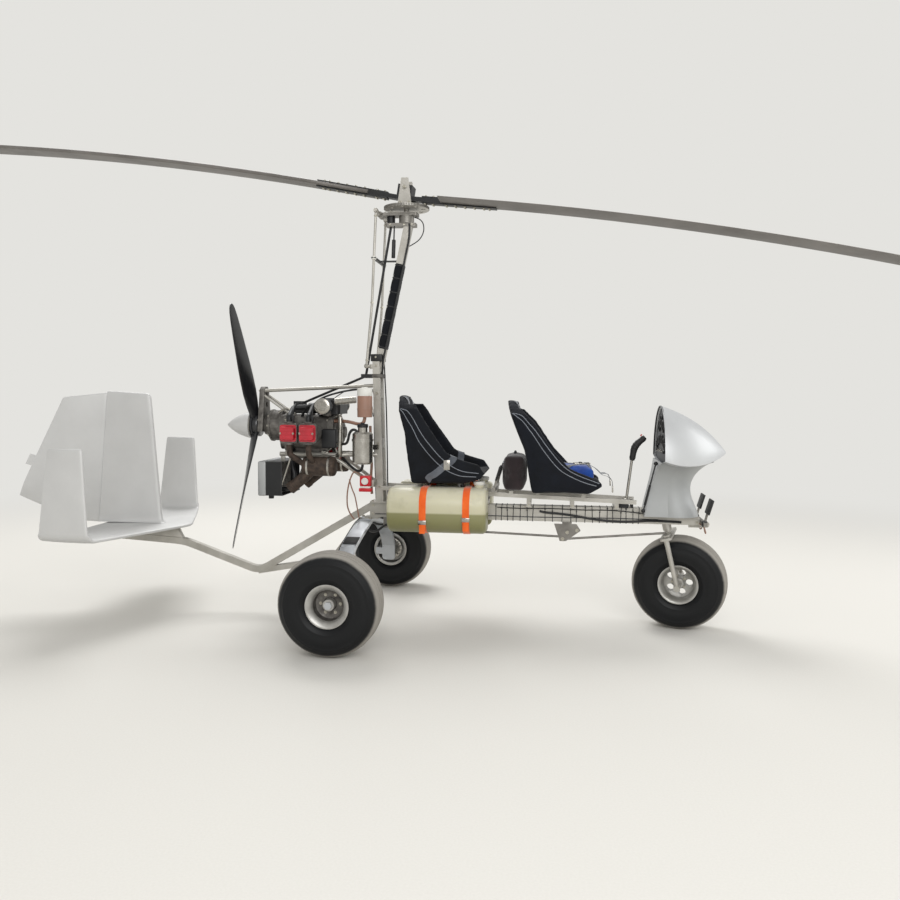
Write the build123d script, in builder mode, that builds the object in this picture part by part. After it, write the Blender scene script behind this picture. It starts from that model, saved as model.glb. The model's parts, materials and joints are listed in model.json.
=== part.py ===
"""Open-frame tandem gyrocopter, in millimetres.

The frame stands on the ground under the rotor hub: +X to the nose, +Y to port, +Z up.
"""
from build123d import *
import os
from math import atan2, cos, degrees, radians, sin

os.makedirs("parts", exist_ok=True)

# Clearances
running = 0.05  # radial play of a shaft in its bore
seated = 0.3  # gap between a loose piece and its seat
free = 6.0  # gap that a moving piece keeps from the others
ends = 1.0  # side play of a wheel or hub on its shaft

# Wheels
wheel_d = 580.0
tyre_w = 236.0
tyre_crown_w = 168.0
tyre_wall = 9.0
rim_d = 216.0
rim_w = 176.0
rim_wall = 5.0
flange_h = 14.0
flange_t = 6.0
web_t = 9.0
hub_d = 66.0
hub_w = 118.0
window_count = 6
window_d = 34.0
disc_d = 160.0
disc_t = 5.0
pad_gap = 2.0
axle_d = 25.0
axle_z = wheel_d / 2
track = 1772.0
main_axle_x = -254.0
wheelbase = 1996.0

# Keel, seat rails and mast
keel_w = 80.0
keel_h = 96.0
keel_wall = 3.0
keel_bottom = 652.0
keel_rear_x = -225.0
keel_taper_x = 1500.0
keel_front_x = 1850.0
keel_nose_h = 48.0
tow_eye_x = 1896.0
tow_eye_d = 40.0
tow_bore_d = 16.0
tow_eye_t = 12.0
rail_size = 25.0
rail_wall = 2.5
rail_y = 98.0
rail_front_x = 1460.0
rail_front_z = 792.0
rail_rise = 0.0354
rail_post_xs = (-40.0, 250.0, 530.0, 800.0, 1070.0, 1340.0)
mast_x = -155.0
mast_foot_z = keel_bottom + keel_h
mast_tube_x = 46.0
mast_tube_y = 30.0
mast_wall = 3.0
mast_joint_z = 1590.0
mast_lower_top_z = 1700.0
mast_lean_back = 30.0
upper_mast_x = 50.0
upper_mast_y = 62.0
upper_mast_top_x = 15.0

# Tail boom and tail surfaces
boom_size = 46.0
boom_wall = 3.0
boom_low = (-980.0, 268.0)
boom_rise = (-1500.0, 452.0)
boom_end = (-2070.0, 486.0)
lower_arm_bend = (-480.0, 362.0)
tail_z = 548.0
tail_t = 22.0
tail_span = 1560.0
tail_root_front_x = -1440.0
tail_tip_front_x = -1745.0
tail_rear_x = -2062.0
tail_corner_r = 60.0
tail_skin = 2.0
end_plate_h = 560.0
end_plate_top_chord = 219.0
fin_t = 34.0
fin_front_low_x = -1659.0
fin_front_top_x = -1729.0
fin_top_z = 1440.0
hinge_low_x = -2113.0
hinge_top_x = -2043.0
hinge_d = 12.0
rudder_t = 26.0
rudder_top_chord = 280.0
rudder_low_chord = 540.0
rudder_low_z = 750.0
tab_z = 985.0
tab_t = 4.0
rudder_rest = -15.0
rudder_gap = 9.0
knuckle_d = 22.0
knuckle_h = 40.0
lug_t = 6.0
lug_w = 20.0

# Landing gear
leg_w = 92.0
leg_t = 24.0
leg_root_z = 628.0
leg_end_y = 746.0
steer_rest = -13.0
steer_head_x = 1655.0
steer_head_z = 650.0
stem_d = 38.0
head_tube_d = 54.0
head_tube_below = 38.0
head_tube_above = 106.0
fork_leg_d = 30.0
fork_half = 158.0
fork_crown_t = 14.0

# Nose pod
pod_rear_x = 1600.0
pod_wall = 4.0

# Engine, gearbox and propeller
crank_z = 1197.0
crank_x = (-800.0, -450.0)
crank_w = 220.0
crank_h = 224.0
cylinder_xs = (-689.0, -566.0)
cylinder_d = 96.0
head_y = 246.0
head_x_size = 112.0
head_z_size = 122.0
cover_y = 286.0
case_rib = 6.0
bearer_y = 112.0
bearer_z = 1056.0
bearer_d = 28.0
pad_h = 10.0
mount_xs = (-740.0, -500.0)
sheet_t = 3.0
radiator_x = -835.0
radiator_z = 792.0
radiator_h = 216.0
muffler_z = 900.0
prop_x = -997.0
prop_z = 1236.0
prop_r = 860.0
prop_hub_d = 150.0
prop_hub_t = 62.0
prop_shaft_d = 44.0

# Rotor
hub_z = 2680.0
teeter_z = hub_z + 62.0
teeter_pin_d = 16.0
rotor_r = 3660.0
blade_chord = 218.0
blade_t = 27.0
blade_root_r = 470.0
blade_sag_radius = 22700.0
precone = 2.6
teeter_rest = 8.8
rotor_yaw = -3.5
hub_bar_w = 60.0
hub_bar_t = blade_t + 2 * seated
strap_r = 590.0
ring_d = 284.0
ring_t = 16.0
ring_z = hub_z - 68.0
cheek_t = 9.0
cheek_gap = 102.0
cheek_top_z = teeter_z + 58.0
spindle_d = 36.0
head_bottom_z = hub_z - 175.0
head_plate_t = 20.0
gimbal_z = head_bottom_z + 66.0
gimbal_plate_t = 18.0
torque_bar_x = -166.0
torque_bar_d = 22.0
push_rod_y = 150.0
bell_z = 1620.0

# Seats and tanks
seat_w = 460.0
seat_top_w = 350.0
seat_wall = 34.0
front_seat_z = 852.0
front_pan_z = 910.0
rear_seat_z = 896.0
tank_x = (-60.0, 550.0)
tank_y = (118.0, 338.0)
tank_z = (592.0, 872.0)
tank_wall = 5.0
strap_w = 42.0
strap_t = 3.0
strap_xs = (165.0, 430.0)


def along(start, end, across=(0, 1, 0)):
    """Plane at start whose normal points at end and whose x axis lies along `across`."""
    run = Vector(*end) - Vector(*start)
    side = Vector(*across)
    side = side - run * (side.dot(run) / run.dot(run))
    return Plane(origin=start, x_dir=side, z_dir=run), run.length


def box_tube(start, end, wide, deep, wall=0.0, across=(0, 1, 0), mode=Mode.ADD):
    """Straight rectangular tube, `wide` measured along `across`; solid if wall is 0."""
    plane, length = along(start, end, across)
    with BuildSketch(plane) as section:
        Rectangle(wide, deep)
        if wall > 0:
            Rectangle(wide - 2 * wall, deep - 2 * wall, mode=Mode.SUBTRACT)
    extrude(section.sketch, amount=length, mode=mode)


def round_bar(start, end, diameter, wall=0.0):
    """Straight round bar or tube."""
    plane, length = along(start, end, (0.13, 1, 0.07))
    with BuildSketch(plane) as section:
        Circle(diameter / 2)
        if wall > 0:
            Circle(diameter / 2 - wall, mode=Mode.SUBTRACT)
    extrude(section.sketch, amount=length)


def bent_pipe(points, radius, diameter):
    """Round pipe along straight runs joined by tangent arcs."""
    with BuildLine() as route:
        FilletPolyline(*points, radius=radius)
    path = route.wires()[0]
    with BuildSketch(Plane(origin=path @ 0, z_dir=path % 0)) as section:
        Circle(diameter / 2)
    sweep(section.sketch, path=path)


def inset_face(plane, corners, inset):
    """Flat face through `corners` on a plane, drawn in by `inset`."""
    with BuildSketch(plane) as face:
        with BuildLine():
            Polyline(*corners, close=True)
        make_face()
    if inset == 0:
        return face.sketch
    return offset(face.sketch, amount=-inset, kind=Kind.INTERSECTION, mode=Mode.PRIVATE)


def hollow_plate(corners, thickness):
    """Plate in the XZ plane through `corners`, hollow inside its sheet skin."""
    extrude(inset_face(Plane.XZ, corners, 0), amount=thickness / 2, both=True)
    core = inset_face(Plane.XZ, corners, tail_skin)
    extrude(core, amount=thickness / 2 - tail_skin, both=True, mode=Mode.SUBTRACT)


def finish(part, name):
    """Label a finished piece and write it."""
    part.label = name
    export_step(part, f"parts/{name}.step")


# Wheels, modelled about their own axle line and placed by wheel_plane
def rim_section():
    """Half section of the rim: radius along x, axle direction along y."""
    barrel = rim_d / 2
    with BuildLine() as outline:
        Polyline(
            (axle_d / 2 + running, -hub_w / 2),
            (hub_d / 2, -hub_w / 2),
            (hub_d / 2, -web_t),
            (barrel - rim_wall, -web_t),
            (barrel - rim_wall, -rim_w / 2),
            (barrel + flange_h, -rim_w / 2 - flange_t),
            (barrel + flange_h, -rim_w / 2),
            (barrel, -rim_w / 2 + flange_t),
            (barrel, rim_w / 2 - flange_t),
            (barrel + flange_h, rim_w / 2),
            (barrel + flange_h, rim_w / 2 + flange_t),
            (barrel - rim_wall, rim_w / 2),
            (barrel - rim_wall, web_t),
            (hub_d / 2, web_t),
            (hub_d / 2, hub_w / 2),
            (axle_d / 2 + running, hub_w / 2),
            close=True,
        )
    make_face(outline.edges())


def tyre_section():
    """Half section of the hollow tyre in straight strips, open at the beads."""
    bead = rim_d / 2 + seated
    bead_y = rim_w / 2 - flange_t - seated
    lip = bead + flange_h + 5.0
    shoulder = wheel_d / 2 - 22.0
    bulge = (lip + shoulder) / 2
    half = tyre_w / 2
    with BuildLine() as outline:
        Polyline(
            (lip, -bead_y - flange_t - 4.0),
            (bulge, -half), (shoulder, -half + 12.0), (wheel_d / 2, -tyre_crown_w / 2),
            (wheel_d / 2, tyre_crown_w / 2), (shoulder, half - 12.0), (bulge, half),
            (lip, bead_y + flange_t + 4.0),
            (bead, bead_y - tyre_wall),
            (shoulder + 10.0 - tyre_wall, half - 2 * tyre_wall),
            (shoulder + 10.0 - tyre_wall, -half + 2 * tyre_wall),
            (bead, -bead_y + tyre_wall),
            close=True,
        )
    make_face(outline.edges())


with BuildPart() as rim_master:
    with BuildSketch(Plane.XY):
        rim_section()
    revolve(axis=Axis.Y)
    window_r = (hub_d / 2 + rim_d / 2 - rim_wall) / 2
    with BuildSketch(Plane.XZ):
        with PolarLocations(window_r, window_count):
            Circle(window_d / 2)
    extrude(amount=web_t * 2, both=True, mode=Mode.SUBTRACT)

with BuildPart() as tyre_master:
    with BuildSketch(Plane.XY):
        tyre_section()
    revolve(axis=Axis.Y)

# Steering frame: the raked axis runs through the nose wheel's centre
nose_axle_x = main_axle_x + wheelbase
steer_axis = Axis(
    (nose_axle_x, 0, axle_z), (steer_head_x - nose_axle_x, 0, steer_head_z - axle_z)
)
rake = degrees(atan2(nose_axle_x - steer_head_x, steer_head_z - axle_z))
fork_plane = Plane(
    origin=(nose_axle_x, 0, axle_z), x_dir=(cos(radians(rake)), 0, sin(radians(rake))),
    z_dir=steer_axis.direction,
)

wheel_places = {
    "left": Location((main_axle_x, track / 2, axle_z)),
    "right": Location((main_axle_x, -track / 2, axle_z)),
    "nose": Location((nose_axle_x, 0, axle_z)),
}
disc_y = hub_w / 2 - disc_t
for side, place in wheel_places.items():
    tyre = tyre_master.part.moved(place)
    if side == "nose":
        finish(tyre.rotate(steer_axis, steer_rest), "tyre_nose")
        finish(rim_master.part.moved(place).rotate(steer_axis, steer_rest), "rim_nose")
        continue
    finish(tyre, f"tyre_{side}")
    inboard = -1 if side == "left" else 1
    with BuildPart() as main_rim:
        add(rim_master.part)
        with BuildSketch(Plane((0, inboard * disc_y, 0), x_dir=(1, 0, 0), z_dir=(0, inboard, 0))):
            Circle(disc_d / 2)
            Circle(hub_d / 2 - ends, mode=Mode.SUBTRACT)
        extrude(amount=disc_t)
    finish(main_rim.part.moved(place), f"rim_{side}")

# Nose fork, built straight ahead and then turned to its parked angle
crown_low = wheel_d / 2 + free
head_at = (steer_head_z - axle_z) / cos(radians(rake))
head_low = head_at - head_tube_below
head_high = head_at + head_tube_above
stem_top = head_high + 2 * ends
leg_end_drop = 22.0
steer_arm_z = crown_low + fork_crown_t
steer_arm_t = 8.0
steer_arm_r = 95.0
with BuildPart() as fork:
    with BuildSketch(fork_plane.offset(crown_low)):
        RectangleRounded(70, 2 * fork_half + fork_leg_d + 6, 18)
    extrude(amount=fork_crown_t)
    with BuildSketch(fork_plane.offset(crown_low)):
        Circle(stem_d / 2)
    extrude(amount=stem_top + 14 - crown_low)
    with BuildSketch(fork_plane.offset(stem_top)):
        RegularPolygon(head_tube_d / 2 + 4, 6)
    extrude(amount=16)
    for hand in (1, -1):
        with BuildSketch(fork_plane.offset(-leg_end_drop)):
            with Locations((0, hand * fork_half)):
                Circle(fork_leg_d / 2)
        extrude(amount=crown_low + leg_end_drop + 4)
    with BuildSketch(Plane(fork_plane.origin, x_dir=(1, 0, 0), z_dir=(0, 1, 0))):
        Circle(axle_d / 2)
    extrude(amount=fork_half, both=True)
    for hand in (1, -1):
        collar = Plane(fork_plane.origin, x_dir=(1, 0, 0), z_dir=(0, hand, 0))
        with BuildSketch(collar.offset(hub_w / 2 + ends)):
            Circle(hub_d / 2 - 12)
        extrude(amount=fork_half - hub_w / 2 - ends)
        with BuildSketch(collar.offset(fork_half)):
            RegularPolygon(19, 6)
        extrude(amount=fork_leg_d / 2 + 12)
    with BuildSketch(fork_plane.offset(steer_arm_z)):
        with Locations((0, -steer_arm_r / 2 - 20)):
            RectangleRounded(46, steer_arm_r, 12)
    extrude(amount=steer_arm_t)
finish(fork.part.rotate(steer_axis, steer_rest), "fork")

# Main legs: curved flat springs with an axle stub and a brake flange at each end
leg_points = ((30.0, 0.0), (250.0, -42.0), (480.0, -96.0), (640.0, -186.0))
with BuildPart() as gear_legs:
    for hand in (1, -1):
        caliper = Plane((main_axle_x, 0, axle_z), x_dir=(-hand, 0, 0), z_dir=(0, hand, 0))
        pad_at = track / 2 - disc_y - disc_t / 2
        with BuildSketch(caliper.offset(leg_end_y - 26)):
            with Locations((hand * (disc_d / 2 - 13), 0)):
                RectangleRounded(54, 48, 8)
        extrude(amount=pad_at + 18 - leg_end_y + 26)
        with BuildSketch(caliper.offset(pad_at - disc_t / 2 - pad_gap)):
            Circle(disc_d / 2 + pad_gap)
        extrude(amount=disc_t + 2 * pad_gap, mode=Mode.SUBTRACT)
        stations = [(y, leg_root_z + dz) for y, dz in leg_points] + [(leg_end_y - 12, axle_z + 44)]
        with BuildSketch(Plane((main_axle_x, 0, 0), x_dir=(0, hand, 0), z_dir=(hand, 0, 0))):
            with BuildLine():
                FilletPolyline(*stations, radius=(420, 330, 300))
            trace(line_width=leg_t)
        extrude(amount=leg_w / 2, both=True)
        hub_face = Plane((main_axle_x, hand * leg_end_y, axle_z), x_dir=(1, 0, 0), z_dir=(0, hand, 0))
        with BuildSketch(hub_face.offset(-26)):
            RectangleRounded(leg_w, 130, 20)
        extrude(amount=26)
        with BuildSketch(hub_face):
            Circle(axle_d / 2)
        extrude(amount=track / 2 - leg_end_y + hub_w / 2 + 14)
        with BuildSketch(hub_face):
            Circle(hub_d / 2 - 8)
        extrude(amount=track / 2 - leg_end_y - hub_w / 2 - ends)
        with BuildSketch(hub_face.offset(track / 2 - leg_end_y + hub_w / 2 + ends)):
            RegularPolygon(22, 6)
        extrude(amount=13)
    with BuildSketch(Plane((main_axle_x, 0, leg_root_z - leg_t / 2))):
        Rectangle(leg_w, 120)
    extrude(amount=leg_t)
finish(gear_legs.part, "gear_legs")

# Keel: a deep box tube that tapers to the nose, with the steering head tube through it
keel_top = keel_bottom + keel_h


def keel_block(grow, past, mode=Mode.ADD):
    """Solid in the keel's shape, grown all round by `grow` and `past` longer at each end."""
    with BuildSketch(Plane.XZ) as side:
        with BuildLine():
            Polyline(
                (keel_rear_x - past, keel_bottom - grow),
                (keel_front_x + past, keel_bottom - grow),
                (keel_front_x + past, keel_bottom + keel_nose_h + grow),
                (keel_taper_x, keel_top + grow),
                (keel_rear_x - past, keel_top + grow),
                close=True,
            )
        make_face()
    extrude(side.sketch, amount=keel_w / 2 + grow, both=True, mode=mode)


with BuildPart() as keel:
    keel_block(0.0, 0.0)
    keel_block(-keel_wall, 1.0, mode=Mode.SUBTRACT)
    with BuildSketch(fork_plane.offset(head_low)):
        Circle(head_tube_d / 2)
    extrude(amount=head_high - head_low)
    with BuildSketch(fork_plane.offset(head_low - free)):
        Circle(stem_d / 2 + running)
    extrude(amount=head_high - head_low + 2 * free, mode=Mode.SUBTRACT)
    with BuildSketch(Plane((main_axle_x + 40, 0, leg_root_z + leg_t / 2))):
        Rectangle(leg_w, keel_w)
    extrude(amount=keel_bottom - leg_root_z - leg_t / 2)
    bracket_reach = tank_y[0] - seated - strap_t
    for x in strap_xs:
        for hand in (1, -1):
            with BuildSketch(Plane((x, hand * keel_w / 2, keel_bottom + keel_h / 2), z_dir=(0, hand, 0))):
                Rectangle(strap_w, 34)
            extrude(amount=bracket_reach - keel_w / 2)
    with BuildSketch(Plane((keel_front_x, 0, keel_bottom), z_dir=(0, 1, 0), x_dir=(1, 0, 0))):
        with Locations((tow_eye_x - keel_front_x, 0)):
            Circle(tow_eye_d / 2)
        with Locations(((tow_eye_x - keel_front_x - 60) / 2, tow_eye_d / 4)):
            Rectangle(tow_eye_x - keel_front_x + 60, tow_eye_d / 2)
        with Locations((tow_eye_x - keel_front_x, 0)):
            Circle(tow_bore_d / 2, mode=Mode.SUBTRACT)
    extrude(amount=tow_eye_t / 2, both=True)
finish(keel.part, "keel")

# Seat rails: two square tubes from the mast to the pedals, on cross tubes and posts
rail_rear_x = mast_x + mast_tube_x / 2
bag_x = 690.0
rear_pedal_x = 586.0
rear_pedal_z = 850.0
bag_z = 848.0
bearer_rows = (
    (110.0, rear_seat_z), (370.0, rear_seat_z), (rear_pedal_x, rear_pedal_z), (bag_x, bag_z),
    (856.0, front_seat_z), (1136.0, front_seat_z),
)


def rail_z(x):
    """Height of the rails' centre line."""
    return rail_front_z + rail_rise * (rail_front_x - x)


with BuildPart() as seat_rails:
    for hand in (1, -1):
        box_tube(
            (rail_rear_x - rail_size, hand * rail_y, rail_z(rail_rear_x - rail_size)),
            (rail_front_x, hand * rail_y, rail_front_z), rail_size, rail_size, rail_wall,
        )
    split(bisect_by=Plane.YZ.offset(rail_rear_x + seated), keep=Keep.TOP)
    cross_y = rail_y + rail_size / 2
    for x in rail_post_xs:
        cross_z = keel_top + rail_size / 2
        box_tube((x, -cross_y, cross_z), (x, cross_y, cross_z), rail_size, rail_size, across=(1, 0, 0))
        for hand in (1, -1):
            box_tube((x, hand * rail_y, cross_z), (x, hand * rail_y, rail_z(x)), rail_size, rail_size)
    for x, top_z in bearer_rows:
        with BuildSketch(Plane.XY.offset(top_z)):
            with Locations((x, 0)):
                Rectangle(rail_size, 2 * cross_y)
        extrude(amount=-rail_size)
        for hand in (1, -1):
            box_tube((x, hand * rail_y, rail_z(x)), (x, hand * rail_y, top_z), rail_size, rail_size)
finish(seat_rails.part, "seat_rails")

# Mast: two lower tubes with the single upper tube clamped between their heads
upper_foot = (mast_x - mast_lean_back + 5.0, mast_joint_z)
mast_pair_y = upper_mast_y / 2 + seated + mast_tube_y / 2


def mast_pair(wall, mode=Mode.ADD):
    """The two lower mast tubes, or their solid envelope when wall is 0."""
    for hand in (1, -1):
        box_tube(
            (mast_x, hand * mast_pair_y, mast_foot_z),
            (mast_x - mast_lean_back, hand * mast_pair_y, mast_lower_top_z),
            mast_tube_y, mast_tube_x, wall, mode=mode,
        )


with BuildPart() as mast_lower:
    mast_pair(mast_wall)
    with BuildSketch(Plane((mast_x, 0, mast_foot_z))):
        RectangleRounded(130, 2 * mast_pair_y + mast_tube_y + 16, 10)
    extrude(amount=8)
    for z in (820.0, 1100.0, 1420.0):
        lean = mast_lean_back * (z - mast_foot_z) / (mast_lower_top_z - mast_foot_z)
        with BuildSketch(Plane((mast_x - lean, 0, z))):
            Rectangle(mast_tube_x - 4, upper_mast_y + 2)
        extrude(amount=60)
    split(bisect_by=Plane.XY.offset(mast_foot_z), keep=Keep.TOP)
finish(mast_lower.part, "mast_lower")

with BuildPart() as mast_upper:
    box_tube(
        (upper_foot[0], 0, upper_foot[1]), (upper_mast_top_x, 0, head_bottom_z + 15),
        upper_mast_y, upper_mast_x, mast_wall,
    )
    split(bisect_by=Plane.XY.offset(head_bottom_z), keep=Keep.BOTTOM)
finish(mast_upper.part, "mast_upper")

# Tail boom: a bent square tube, with an upper arm to the keel and a lower arm to the gear
boom_face = Plane.XZ.offset(-boom_size / 2)
with BuildPart() as tail_boom:
    low = (boom_low[0], 0, boom_low[1])
    rise = (boom_rise[0], 0, boom_rise[1])
    leg_under_z = leg_root_z - leg_t / 2
    arm_bend = (lower_arm_bend[0], 0, lower_arm_bend[1])
    box_tube(low, arm_bend, boom_size - 4, boom_size - 8, boom_wall)
    box_tube(
        arm_bend, (main_axle_x, 0, leg_under_z + boom_size), boom_size - 4, boom_size - 8, boom_wall
    )
    split(bisect_by=Plane.XY.offset(leg_under_z), keep=Keep.BOTTOM)
    box_tube(
        low, (keel_rear_x + boom_size, 0, keel_bottom + keel_h - 4), boom_size, boom_size, boom_wall
    )
    split(bisect_by=Plane.YZ.offset(keel_rear_x), keep=Keep.BOTTOM)
    box_tube(low, rise, boom_size, boom_size, boom_wall)
    box_tube(rise, (boom_end[0], 0, boom_end[1]), boom_size, boom_size, boom_wall)
    for x, z in (boom_low, boom_rise, lower_arm_bend):
        with BuildSketch(boom_face):
            with Locations((x, z)):
                Circle(boom_size / 2 - 2)
        extrude(amount=boom_size)
    hollow_plate(
        (boom_rise, (boom_rise[0] - 50, tail_z), (tail_rear_x + 90, tail_z),
         (tail_rear_x + 60, boom_end[1])), boom_size - 8,
    )
finish(tail_boom.part, "tail_boom")

# Tailplane with upturned end plates, one hollow section bent up at both sides
tail_half = tail_span / 2
tail_plan = ((tail_root_front_x, 0), (tail_tip_front_x, tail_half), (tail_rear_x, tail_half),
             (tail_rear_x, -tail_half), (tail_tip_front_x, -tail_half))
plate_side = ((tail_tip_front_x, tail_z), (tail_tip_front_x - 26, tail_z + end_plate_h),
              (tail_tip_front_x - 26 - end_plate_top_chord, tail_z + end_plate_h), (tail_rear_x, tail_z))


def tail_pan(inset):
    """Tailplane and end plates, drawn in by `inset` for the inside."""
    thick = tail_t - 2 * inset
    with BuildPart(mode=Mode.PRIVATE) as pan:
        extrude(inset_face(Plane.XY.offset(tail_z + inset), tail_plan, inset), amount=thick)
        for hand in (1, -1):
            side = Plane((0, hand * (tail_half - inset), 0), x_dir=(1, 0, 0), z_dir=(0, -1, 0))
            extrude(inset_face(side, plate_side, inset), amount=hand * thick)
        for wall_y, floor_z, radius in (
            (tail_half - inset, tail_z + inset, tail_corner_r - inset),
            (tail_half - tail_t + inset, tail_z + tail_t - inset, tail_corner_r - tail_t + inset),
        ):
            corners = (
                pan.edges().filter_by(lambda e: abs(abs(e.center().Y) - wall_y) < 1)
                .filter_by(lambda e: abs(e.center().Z - floor_z) < 1 and e.length > tail_corner_r)
            )
            fillet(corners, radius)
    return pan.part


with BuildPart() as tailplane:
    add(tail_pan(0.0))
    add(tail_pan(tail_skin), mode=Mode.SUBTRACT)
finish(tailplane.part, "tailplane")

# Fin and rudder share the sloping hinge line: the fin's lugs hold a pin, the rudder's knuckles turn on it
hinge_foot_z = tail_z + tail_t + 30.0
hinge_line = Vector(hinge_top_x - hinge_low_x, 0, fin_top_z - hinge_foot_z)
hinge_axis = Axis((hinge_low_x, 0, hinge_foot_z), hinge_line)
hinge_plane = Plane(
    origin=(hinge_low_x, 0, hinge_foot_z), x_dir=(hinge_line.Z, 0, -hinge_line.X), z_dir=hinge_line
)
knuckle_rises = [hinge_line.length * share for share in (0.12, 0.48, 0.84)]
fin_gap = rudder_gap + 8.0
pocket = lug_w / 2 + 2 * free + 4.0
with BuildPart() as fin:
    hollow_plate(
        ((fin_front_low_x, tail_z + tail_t + seated), (fin_front_top_x, fin_top_z),
         (hinge_top_x + fin_gap, fin_top_z + 10), (hinge_low_x + fin_gap, hinge_foot_z),
         (hinge_low_x + fin_gap, tail_z + tail_t + seated)), fin_t,
    )
    for rise in knuckle_rises:
        for low_z in (rise - lug_t - ends, rise + knuckle_h + ends):
            with BuildSketch(hinge_plane.offset(low_z)):
                SlotOverall(2 * fin_gap + 2 * lug_w, lug_w)
                with Locations((-fin_gap - lug_w / 2, 0)):
                    Rectangle(2 * fin_gap, lug_w, mode=Mode.SUBTRACT)
                Circle(lug_w / 2)
            extrude(amount=lug_t)
        with BuildSketch(hinge_plane.offset(rise - lug_t - 2 * ends - 4)):
            Circle(hinge_d / 2)
        extrude(amount=knuckle_h + 2 * lug_t + 4 * ends + 8)
finish(fin.part, "fin")

rudder_top = (hinge_top_x - rudder_top_chord, fin_top_z - 30)
rudder_low = (hinge_low_x - rudder_low_chord + 18, rudder_low_z)
trail_lean = (rudder_top[0] - rudder_low[0]) / (rudder_top[1] - rudder_low[1])
rudder_foot = (hinge_low_x - rudder_gap, hinge_foot_z)
rudder_head = (hinge_top_x - rudder_gap, fin_top_z + 8)
with BuildPart() as rudder:
    hollow_plate((rudder_foot, rudder_head, rudder_top, rudder_low), rudder_t)
    with BuildSketch(Plane.XZ):
        with BuildLine():
            Polyline(
                rudder_foot, rudder_head, (rudder_head[0] - pocket, rudder_head[1] - tail_skin),
                (rudder_foot[0] - pocket, rudder_foot[1] + pocket / 2), close=True,
            )
        make_face()
    extrude(amount=rudder_t / 2 - tail_skin / 2, both=True)
    for rise in knuckle_rises:
        with BuildSketch(hinge_plane.offset(rise - lug_t - free - 2 * ends)):
            with Locations((-pocket / 2, 0)):
                Rectangle(pocket, rudder_t + 2)
        extrude(amount=knuckle_h + 2 * lug_t + 2 * free + 4 * ends, mode=Mode.SUBTRACT)
        with BuildSketch(hinge_plane.offset(rise)):
            Circle(knuckle_d / 2)
            with Locations((-pocket / 2 - 2, 0)):
                Rectangle(pocket + 4, knuckle_d / 2)
            Circle(hinge_d / 2 + running, mode=Mode.SUBTRACT)
        extrude(amount=knuckle_h)
    with BuildSketch(Plane.XZ):
        with BuildLine():
            Polyline(
                *((rudder_low[0] + trail_lean * (tab_z + rise - rudder_low_z) + past, tab_z + rise)
                  for rise, past in ((-45, 4), (-34, -30), (34, -30), (45, 4))), close=True,
            )
        make_face()
    extrude(amount=tab_t / 2, both=True)
finish(rudder.part.rotate(hinge_axis, -rudder_rest), "rudder")

# Nose pod: hooded dome, columns are x, half width, rim height and crown height
dome_rows = (
    (pod_rear_x, 318.0, 1062.0, 1388.0),
    (1710.0, 300.0, 1036.0, 1346.0),
    (1820.0, 240.0, 1038.0, 1284.0),
    (1915.0, 148.0, 1060.0, 1206.0),
    (2000.0, 14.0, 1096.0, 1110.0),
)
rim_sag = 26.0


def dome_loft(shrink, mode=Mode.ADD):
    """Dome through arched sections, drawn in by `shrink` for the inside."""
    with BuildPart(mode=Mode.PRIVATE) as body:
        for x, half_width, rim_z, crown_z in dome_rows:
            inset = min(shrink, half_width * 0.6)
            with BuildSketch(Plane((x - shrink, 0, 0), x_dir=(0, 1, 0), z_dir=(1, 0, 0))):
                with BuildLine():
                    ThreePointArc(
                        (half_width - inset, rim_z + inset / 2),
                        (0, crown_z - inset),
                        (inset - half_width, rim_z + inset / 2),
                    )
                    ThreePointArc(
                        (inset - half_width, rim_z + inset / 2),
                        (0, rim_z - rim_sag * half_width / dome_rows[0][1] + inset),
                        (half_width - inset, rim_z + inset / 2),
                    )
                make_face()
        loft()
    return body.part


with BuildPart() as pod_shell:
    add(dome_loft(0.0))
    add(dome_loft(pod_wall), mode=Mode.SUBTRACT)
finish(pod_shell.part, "pod_shell")

# Pedestal under the dome, columns are z, rear x, front x and half width
pedestal_rows = (
    (keel_bottom + keel_nose_h + 6, 1508.0, 1846.0, 122.0),
    (800.0, 1526.0, 1812.0, 118.0),
    (912.0, 1552.0, 1798.0, 122.0),
    (992.0, 1572.0, 1846.0, 160.0),
    (1046.0, 1590.0, 1930.0, 262.0),
)


def pedestal_loft(shrink):
    """Pedestal through D-shaped sections, drawn in by `shrink` for the inside."""
    with BuildPart(mode=Mode.PRIVATE) as body:
        for z, rear_x, front_x, half_width in pedestal_rows:
            flat_x = rear_x + (front_x - rear_x) * 0.42
            side_y = half_width - shrink
            with BuildSketch(Plane.XY.offset(z)):
                with BuildLine():
                    Polyline(
                        (flat_x, -side_y), (rear_x + shrink, -side_y * 0.9),
                        (rear_x + shrink, side_y * 0.9), (flat_x, side_y),
                    )
                    ThreePointArc((flat_x, side_y), (front_x - shrink, 0), (flat_x, -side_y))
                make_face()
        loft()
    return body.part


with BuildPart() as pod_pedestal:
    add(pedestal_loft(0.0))
    add(pedestal_loft(pod_wall), mode=Mode.SUBTRACT)
    keel_block(seated, 0.0, mode=Mode.SUBTRACT)
    add(dome_loft(-seated), mode=Mode.SUBTRACT)
finish(pod_pedestal.part, "pod_pedestal")

# Instrument panel: a flat sheet fitted to the inside of the dome's rear opening
panel_t = 6.0
panel_inset = 16.0
with BuildPart() as instrument_panel:
    with BuildSketch(Plane.YZ.offset(pod_rear_x + panel_inset)):
        with Locations((0, dome_rows[0][3] / 2)):
            Rectangle(2 * dome_rows[0][1], dome_rows[0][3])
    extrude(amount=panel_t)
    add(dome_loft(pod_wall), mode=Mode.INTERSECT)
finish(instrument_panel.part, "instrument_panel")

# Fuel tanks, one each side of the keel: flat towards the keel, round towards the air
tank_d = tank_y[1] - tank_y[0]


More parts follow.
